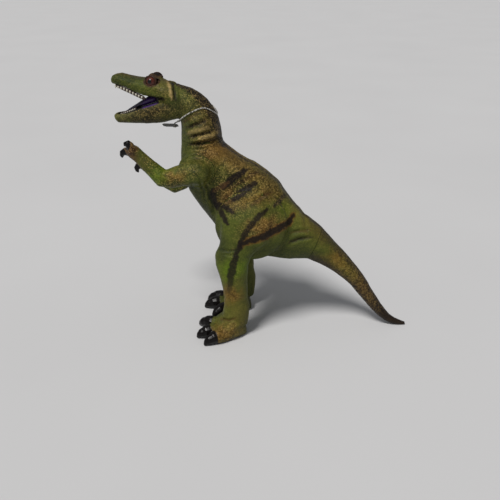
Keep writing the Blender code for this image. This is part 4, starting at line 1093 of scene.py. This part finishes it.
def paintHide(made, body):
    points = meshPoints(made.data)
    normals = meshNormals(made.data)
    placed, pixels, facing = nearSide(points, normals)
    grain = latticeNoise(points, blurSizes["grain"], 9) - 0.5
    loose, tight = pixels, pixels
    for seed, key in ((7, "wide"), (17, "fine")):
        size, looseMove, tightMove = blurSizes[key]
        blur = noisePair(placed, size, seed)
        loose = loose + blur * looseMove
        tight = tight + blur * tightMove
    seen = smoothStep(facing, *turned["marks"])
    seenWide = smoothStep(facing, *turned["patches"])
    colours = np.tile(np.array(paintColours["green"]), (len(points), 1))
    dust = np.full(len(points), plainDust.get(body, limbDust))
    for *oval, weight in dustPatches:
        dust = np.maximum(dust, np.exp(-ovalGap(loose, *oval) ** 1.5) * weight)
    for *oval, colour, weight in softPatches + (headPatches if body == "head" else []):
        if isForBody(body, *oval[:2]):
            amount = np.exp(-ovalGap(loose, *oval) ** 1.3 * 0.9) * weight * seenWide
            colours = laid(colours, colour, amount)
    if body in ("torso", "tail"):
        colours = paintBack(colours, points, normals, grain)
    if body == "torso":
        # Darker on the surfaces that face down: painted shade, over the darker paint there
        colours = laid(colours, "deepGreen", fading(normals[:, 2], *bodyZones["belly"]))
    if body == "tail":
        colours, dust = paintTail(colours, dust, points, normals, grain)
    if body.endswith("leg"):
        colours = laid(colours, "olive", fading(points[:, 2], *bodyZones["shin"]))
        # Darker on the legs' inner sides, between the legs: painted shade
        colours = laid(colours, "deepGreen", fading(np.abs(points[:, 1]), *bodyZones["innerLeg"]))
    marks = np.zeros(len(points))
    for line, width, colour, weight in paintMarks:
        if body.endswith("arm") or (body == "head" and line[0][1] > armPixels["headMarks"]):
            continue
        gap, share = lineDistance(tight, line)
        taper = 0.45 + 0.55 * np.sqrt(np.clip(np.sin(np.pi * np.clip(share, 0.03, 0.97)), 0.0, 1.0))
        if line == thighStripe:
            taper = np.interp(share, *stripeWidths)
            weight = weight * np.interp(share, *stripeWeights)
        half = width * taper * (1.0 + grain * 0.5)
        amount = fadeOut(gap, half - 1.0, half + 1.2) * weight * seen
        colours = laid(colours, colour, amount)
        if colour == "dark":
            marks = np.maximum(marks, amount)
    mouth, claws = np.zeros(len(points)), np.zeros(len(points))
    if body == "head":
        colours = paintFace(colours, placed, points, normals)
        mouth = mouthShare(points)
        colours = paintMouth(colours, mouth, points)
    if body.endswith(("arm", "leg")):
        claws = clawShare(placed, points)
    if body.endswith("leg"):
        colours = laid(colours, "blackBrown", fading(points[:, 2], *bodyZones["sole"]))
    if body.endswith("arm"):
        colours = laid(colours, "fingers", fading(placed[:, 0], *bodyZones["fingers"]))
    setPaint(made.data, np.clip(colours * (1.0 + grain[:, None] * 0.22), 0.0, 1.0))
    dust = np.clip(dust, 0.0, 1.0) * (1.0 - marks * 0.85) * (1.0 - mouth) * (1.0 - claws)
    for name, values in (("claw", claws), ("dust", dust), ("bare", mouth)):
        setShare(made.data, name, values)


for body, made in hidePieces.items():
    paintHide(made, body)
    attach(made, body)
    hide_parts(shellNodes[body])
print("stage: hide painted")

# Eyes, each a glossy ball under a thin moulded lid
lidSizes = {"radius": 0.0059, "tube": 0.0011, "out": 0.0018, "ball": 0.0059, "drop": 0.0026,
            "spread": 0.0006, "heavy": 0.35, "heavyAt": 0.6, "bulge": 0.05, "forward": 0.22, "up": 0.20,
            "spokes": 64, "sides": 14, "colour": (0.040, 0.017, 0.010), "bare": 0.6}


def addLid(rough):
    rings = []
    for a in circleSteps(lidSizes["spokes"]):
        spoke = Vector((math.cos(a), math.sin(a), 0.0))
        thick = lidSizes["tube"] * (1.0 + lidSizes["heavy"] * math.sin(a + lidSizes["heavyAt"]))
        rings.append([spoke * (lidSizes["radius"] + thick * math.cos(b)) + Vector((0, 0, thick * math.sin(b)))
                      for b in circleSteps(lidSizes["sides"])])
    addHoop(rough, rings)


for name in ("left_eye", "right_eye"):
    low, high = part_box(name)
    centre = (low + high) / 2 - Vector((0.0, 0.0, lidSizes["drop"]))
    radius = lidSizes["ball"]
    side = math.copysign(1.0, centre.y)
    centre.y += side * lidSizes["spread"]
    gazeWay = Vector((-lidSizes["forward"], side, lidSizes["up"])).normalized()
    turn = Vector((0.0, 0.0, 1.0)).rotation_difference(gazeWay).to_matrix().to_4x4()
    ball = bmesh.new()
    bmesh.ops.create_icosphere(ball, subdivisions=5, radius=radius)
    for v in ball.verts:
        v.co.z *= 1.0 + lidSizes["bulge"] * max(0.0, v.co.z / radius)
    bmesh.ops.transform(ball, matrix=Matrix.Translation(centre) @ turn, verts=ball.verts[:])
    eye = finished(name + "Ball", ball, eyeGloss)
    toward = (meshPoints(eye.data) - np.array(centre)) / radius
    setShare(eye.data, "gaze", toward @ np.array(gazeWay))
    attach(eye, "head")
    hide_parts(name)

    lid = bmesh.new()
    addLid(lid)
    bmesh.ops.transform(lid, matrix=Matrix.Translation(centre + gazeWay * lidSizes["out"]) @ turn,
                        verts=lid.verts[:])
    bmesh.ops.recalc_face_normals(lid, faces=lid.faces[:])
    eyelid = finished(name + "Lid", lid, hide)
    count = len(eyelid.data.vertices)
    setPaint(eyelid.data, np.tile(lidSizes["colour"], (count, 1)))
    for key, value in (("claw", 0.0), ("dust", 0.0), ("bare", lidSizes["bare"])):
        setShare(eyelid.data, key, np.full(count, value))
    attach(eyelid, "head")
print("stage: eyes")

# Teeth on gum strips, the teeth set by rule along each strip
teethSizes = {"Length": 0.0034, "Radius": 0.00115}
toothForm = {"tip": 0.10, "swell": 1.1, "lean": 0.16, "sides": 14, "steps": 7}
teethVary = {"short": 0.86, "length": (0.92, 1.06), "width": (0.92, 1.08), "tilt": 0.06, "longer": 1.1,
             "lowerWidth": 0.6}
gumSizes = {"thick": 0.0016, "gap": 0.0003, "start": 0.03, "places": 10, "steps": 48, "sides": 12,
            "halfWide": 0.62, "halfTall": 0.52, "endShare": 0.25, "endSteps": 3.0, "frontShare": 0.55,
            "frontSteps": 14.0}
# How far back a row goes, which way it points, its teeth's length as a share, and the strip's height,
# its depth in the jaw and its inset
teethRows = {"upper_teeth": (0.62, -1, 1.0, 0.0048, 0.0016, -0.03),
             "lower_teeth": (0.42, 1, 0.50, 0.0020, 0.0004, 0.10)}


def gumPath(finish, way, count, tall, seat, inward):
    path = []
    for side in (-1, 1):
        run = []
        for i in range(count + 1):
            along = gumSizes["start"] + (finish - gumSizes["start"]) * i / count
            back = headSizes["nose"] + headSizes["mouthFront"] + along * headSizes["mouthDeep"]
            palate, bottom, half = mouthForm(along)
            inset = gumSizes["gap"] + gumSizes["thick"] / 2 + half * inward
            base = palate if way < 0 else bottom
            run.append(Vector((back, side * (half - inset), base + way * (seat + tall / 2))))
        path += run[::-1] if side < 0 else run
    return path


def gumStrip(path, way, tall):
    rings = []
    last = len(path) - 1
    for i, (p, level, rise) in enumerate(turnsAlong(path, False, (0, 0, 1))):
        end = min(1.0, gumSizes["endShare"] + min(i, last - i) / gumSizes["endSteps"])
        fromFront = min(1.0, abs(i - last / 2) / gumSizes["frontSteps"])
        lower = gumSizes["frontShare"] + (1.0 - gumSizes["frontShare"]) * fromFront
        p = p - Vector((0, 0, way * tall * 0.5 * (1.0 - lower)))
        rings.append([p + level * math.cos(b) * gumSizes["thick"] * gumSizes["halfWide"] * end
                      + Vector((0, 0, math.sin(b) * tall * gumSizes["halfTall"] * end * lower))
                      for b in circleSteps(gumSizes["sides"])])
    gum = bmesh.new()
    addSolid(gum, rings)
    bmesh.ops.recalc_face_normals(gum, faces=gum.faces[:])
    return gum


# A tooth is a cone that bulges and leans a little, set on each point of a row
toothRule, toothKeys, (spots, lengthIn, radiusIn) = newTree("toothRow", *teethSizes)
cone = toothRule.node("GeometryNodeMeshCone", {}, {
    "Vertices": toothForm["sides"], "Side Segments": toothForm["steps"], "Fill Segments": 1,
    "Radius Top": radiusIn * toothForm["tip"],
    "Radius Bottom": radiusIn, "Depth": lengthIn})
split = toothRule.node("ShaderNodeSeparateXYZ", {}, {0: toothRule.node("GeometryNodeInputPosition")}, 2)
rise = split / lengthIn
level = toothRule.node("ShaderNodeVectorMath", {"operation": "MULTIPLY"},
                       {0: toothRule.node("GeometryNodeInputNormal"), 1: (1.0, 1.0, 0.0)})
swell = toothRule.node("ShaderNodeVectorMath", {"operation": "SCALE"},
                       {0: level, "Scale": rise * (1.0 - rise) * radiusIn * toothForm["swell"]})
lean = toothRule.node("ShaderNodeCombineXYZ", {}, {0: rise * rise * lengthIn * toothForm["lean"]})
shift = toothRule.node("ShaderNodeVectorMath", {"operation": "ADD"}, {0: swell, 1: lean})
tooth = toothRule.node("GeometryNodeSetPosition", {}, {"Geometry": cone, "Offset": shift})
toothSize, toothTurn = [toothRule.node("GeometryNodeInputNamedAttribute", {"data_type": "FLOAT_VECTOR"},
                                       {"Name": key}) for key in ("toothSize", "toothTurn")]
endTree(toothRule, toothRule.node("GeometryNodeInstanceOnPoints", {}, {
    "Points": spots, "Instance": tooth, "Rotation": toothTurn, "Scale": toothSize}), toothWhite)

randomness = np.random.default_rng(11)
for name, (finish, way, share, tall, seat, inward) in teethRows.items():
    path = gumPath(finish, way, gumSizes["places"], tall, seat, inward)
    middle = len(path) // 2
    front = [path[middle - 1].lerp(path[middle], t) for t in (0.33, 0.67)]
    inner = path[1:middle] + front + path[middle:-1]
    mesh = bpy.data.meshes.new(name + "Row")
    outward = [Vector((-0.0002, math.copysign(0.0008, p.y), 0.0)) for p in inner]
    mesh.from_pydata([p + q + Vector((0, 0, -way * tall * 0.30)) for p, q in zip(inner, outward)],
                     [], [])
    row = meshObject(name + "Row", mesh)
    over = math.pi if way < 0 else 0.0
    thin = 1.0 if way < 0 else teethVary["lowerWidth"]
    sizes, turns = [], []
    for i in range(len(inner)):
        long = share * (1.0 if i % 2 else teethVary["short"]) * randomness.uniform(*teethVary["length"])
        sizes += [thin * randomness.uniform(*teethVary["width"]),
                  thin * randomness.uniform(*teethVary["width"]), long * teethVary["longer"]]
        turns += [over, randomness.uniform(-teethVary["tilt"], teethVary["tilt"]), over]
    for key, values in (("toothSize", sizes), ("toothTurn", turns)):
        mesh.attributes.new(key, "FLOAT_VECTOR", "POINT").data.foreach_set("vector", values)
    grown(row, toothRule, toothKeys, teethSizes)
    row.data.shade_smooth()
    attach(row, "head")
    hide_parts(name)

    path = gumPath(finish, way, gumSizes["steps"], tall, seat, inward)
    strip = finished(name + "Gum", gumStrip(path, way, tall), gumDark)
    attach(strip, "head")
print("stage: teeth")

# Tongue, grooved down its middle
tongueSizes = {"voxel": 0.0006, "groove": 0.0011, "grooveWide": 0.0016, "softer": 0.6, "passes": 14}
tongue = meshObject("tongueSoft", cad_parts["tongue"].data.copy(), tongueSkin)
remeshed(tongue, tongueSizes["voxel"])
softer = tongue.modifiers.new("softer", "SMOOTH")
softer.factor = tongueSizes["softer"]
softer.iterations = tongueSizes["passes"]
applied(tongue)
points = meshPoints(tongue.data)
groove = (np.exp(-(points[:, 1] / tongueSizes["grooveWide"]) ** 2)
          * np.clip(meshNormals(tongue.data)[:, 2], 0.0, 1.0))
points[:, 2] -= groove * tongueSizes["groove"]
placePoints(tongue.data, points)
tongue.data.materials.clear()
tongue.data.materials.append(tongueSkin)
tongue.data.shade_smooth()
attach(tongue, "head")
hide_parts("tongue")
print("stage: tongue")

# Neck cord of two twisted strands, its lead and knots, and the bare card
cordSizes = {"strand": 0.00048, "offset": 0.00040, "pitch": 0.0030, "lead": 0.0165, "lean": 10.0,
             "hole": 0.0016, "tagTilt": 28.0, "rest": 0.0009, "evened": 14, "knotStrand": 0.00055,
             "knotSteps": 120, "knotBelow": 0.0024, "endKnot": 0.00105, "leadKnot": 0.00085, "sides": 7,
             "perSpan": 70, "leadSteps": 14}
# The near half of the loop from the nape to the throat, and the tag's hole
cordRoute = [(-0.06292, 0.0, 0.28234), (-0.07619, 0.01573, 0.29200), (-0.09188, 0.02182, 0.28771),
             (-0.10484, 0.01580, 0.27907), (-0.10989, 0.0, 0.27368)]
hole = Vector((-0.11583, 0.00165, 0.26807))


def tubeRing(middle, level, rise, radius):
    return [middle + (level * math.cos(b) + rise * math.sin(b)) * radius
            for b in circleSteps(cordSizes["sides"])]


def twisted(mesh, route, closed):
    lengths = [0.0]
    for a, b in zip(route, route[1:]):
        lengths.append(lengths[-1] + (b - a).length)
    turns = max(1, round(lengths[-1] / cordSizes["pitch"])) / lengths[-1]
    for start in (0.0, math.pi):
        rings = []
        for (p, level, rise), length in zip(turnsAlong(route, closed, (0.3, 0.2, 0.93)), lengths):
            a = start + 2 * math.pi * turns * length
            middle = p + (level * math.cos(a) + rise * math.sin(a)) * cordSizes["offset"]
            rings.append(tubeRing(middle, level, rise, cordSizes["strand"]))
        (addHoop if closed else addSolid)(mesh, rings)


def knotted(mesh, place, size):
    knot = []
    for a in circleSteps(cordSizes["knotSteps"]):
        knot.append(place + size * 0.5 * Vector(((2 + math.cos(3 * a)) * math.cos(2 * a),
                                                 (2 + math.cos(3 * a)) * math.sin(2 * a),
                                                 math.sin(3 * a))))
    addHoop(mesh, [tubeRing(p, level, rise, cordSizes["knotStrand"])
                   for p, level, rise in turnsAlong(knot, True, (0.31, 0.22, 0.92))])


def curveThrough(rows, steps):
    made = []
    for i in range(len(rows) - 1):
        a, b, c, d = rows[max(i - 1, 0)], rows[i], rows[i + 1], rows[min(i + 2, len(rows) - 1)]
        for k in range(steps):
            t = k / steps
            made.append(0.5 * (2 * b + (c - a) * t + (2 * a - 5 * b + 4 * c - d) * t * t
                               + (3 * b - a - 3 * c + d) * t ** 3))
    made.append(rows[-1])
    return made


def laidOnHide(route):
    # Each point of the loop is moved in or out until the cord rests on the neck
    head = hidePieces["head"].data
    headTree = BVHTree.FromPolygons([v.co for v in head.vertices], [f.vertices for f in head.polygons])
    lean = math.radians(cordSizes["lean"])
    upWay = Vector((math.cos(lean), 0.0, math.sin(lean))).cross(Vector((0.0, 1.0, 0.0)))
    middle = (Vector(cordRoute[0]) + Vector(cordRoute[-1])) / 2
    inners = [middle + upWay * (p - middle).dot(upWay) for p in route]
    reaches = []
    for p, inner in zip(route, inners):
        hit = headTree.ray_cast(p + (p - inner), (inner - p).normalized())[0]
        reaches.append(((hit if hit else p) - inner).length)
    resting = []
    for i, (p, inner) in enumerate(zip(route, inners)):
        near = [reaches[(i + k) % len(reaches)] for k in range(-cordSizes["evened"], cordSizes["evened"] + 1)]
        resting.append(inner + (p - inner).normalized() * (sum(near) / len(near) + cordSizes["rest"]))
    return resting


around = [Vector(p) for p in cordRoute] + [Vector((p[0], -p[1], p[2])) for p in cordRoute[-2:0:-1]]
perSpan = cordSizes["perSpan"]
around = curveThrough(around[-2:] + around + around[:3], perSpan)[2 * perSpan:(2 + len(around)) * perSpan]
loopPoints = laidOnHide(around)
cord = bmesh.new()
twisted(cord, loopPoints, True)
front = min(loopPoints, key=lambda p: p.x)
tagTilt = math.radians(cordSizes["tagTilt"])
cardNormal = Vector((0.0, math.sin(tagTilt), math.cos(tagTilt)))
first, second = [front + Vector(p) * cordSizes["lead"] for p in ((-0.12, 0.0, -0.08), (-0.25, 0.06, -0.16))]
twisted(cord, curveThrough([front, first, second, hole + cardNormal * cordSizes["hole"], hole,
                            hole - cardNormal * cordSizes["hole"]], cordSizes["leadSteps"]), False)
knotted(cord, hole - cardNormal * cordSizes["knotBelow"], cordSizes["endKnot"])
knotted(cord, first, cordSizes["leadKnot"])
bmesh.ops.recalc_face_normals(cord, faces=cord.faces[:])
cordPiece = finished("twistedCord", cord, cordCotton)
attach(cordPiece, "head")
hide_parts("neck_cord")
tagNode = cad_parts["swing_tag"]
if not tagNode.material_slots:
    tagNode.data.materials.append(tagCard)
for slot in tagNode.material_slots:
    slot.material = tagCard
print("stage: cord and tag")

# Pale floor and soft light
room = {"floor": 40.0, "floorDrop": 0.0002, "skyColour": (0.95, 0.97, 1.0), "sky": 0.24,
        "wall": (0.56, 0.56, 0.56), "sun": 2.6, "sunAngle": 16.0, "sunWay": (0.30, 0.42, -0.86),
        "sunColour": (1.0, 0.98, 0.95), "clouds": 2.2, "pale": (0.59, 0.59, 0.60),
        "paler": (0.63, 0.63, 0.64)}
floorPale, wire, place, feed = newMaterial("floorPale")
cloud = wire.noise(place, room["clouds"])
feed(Base_Color=wire.mix(cloud, tint(room["pale"]), tint(room["paler"])),
     Roughness=cloud.ramp(0.2, 0.8, 0.75, 0.85))
ground = bmesh.new()
bmesh.ops.create_grid(ground, x_segments=8, y_segments=8, size=room["floor"])
floor = finished("paleFloor", ground, floorPale)
floor.location.z = -room["floorDrop"]
world = bpy.data.worlds.new("softRoom")
world.use_nodes = True
sky = world.node_tree.nodes["Background"]
sky.inputs["Color"].default_value = tint(room["skyColour"])
sky.inputs["Strength"].default_value = room["sky"]
air = Wire(world.node_tree)
wall = air.node("ShaderNodeBackground", {}, {"Color": tint(room["wall"])})
backdrop = air.node("ShaderNodeMixShader", {}, {0: air.node("ShaderNodeLightPath"),
                                                1: Wire(world.node_tree, sky.outputs[0]), 2: wall})
world.node_tree.links.new(backdrop.socket, world.node_tree.nodes["World Output"].inputs["Surface"])
scene.world = world
sun = bpy.data.lights.new("keySun", "SUN")
sun.energy = room["sun"]
sun.angle = math.radians(room["sunAngle"])
sun.color = room["sunColour"]
lamp = bpy.data.objects.new("keySun", sun)
lamp.rotation_euler = Vector(room["sunWay"]).to_track_quat("-Z", "Y").to_euler()
scene.collection.objects.link(lamp)
scene.view_settings.view_transform = "Standard"
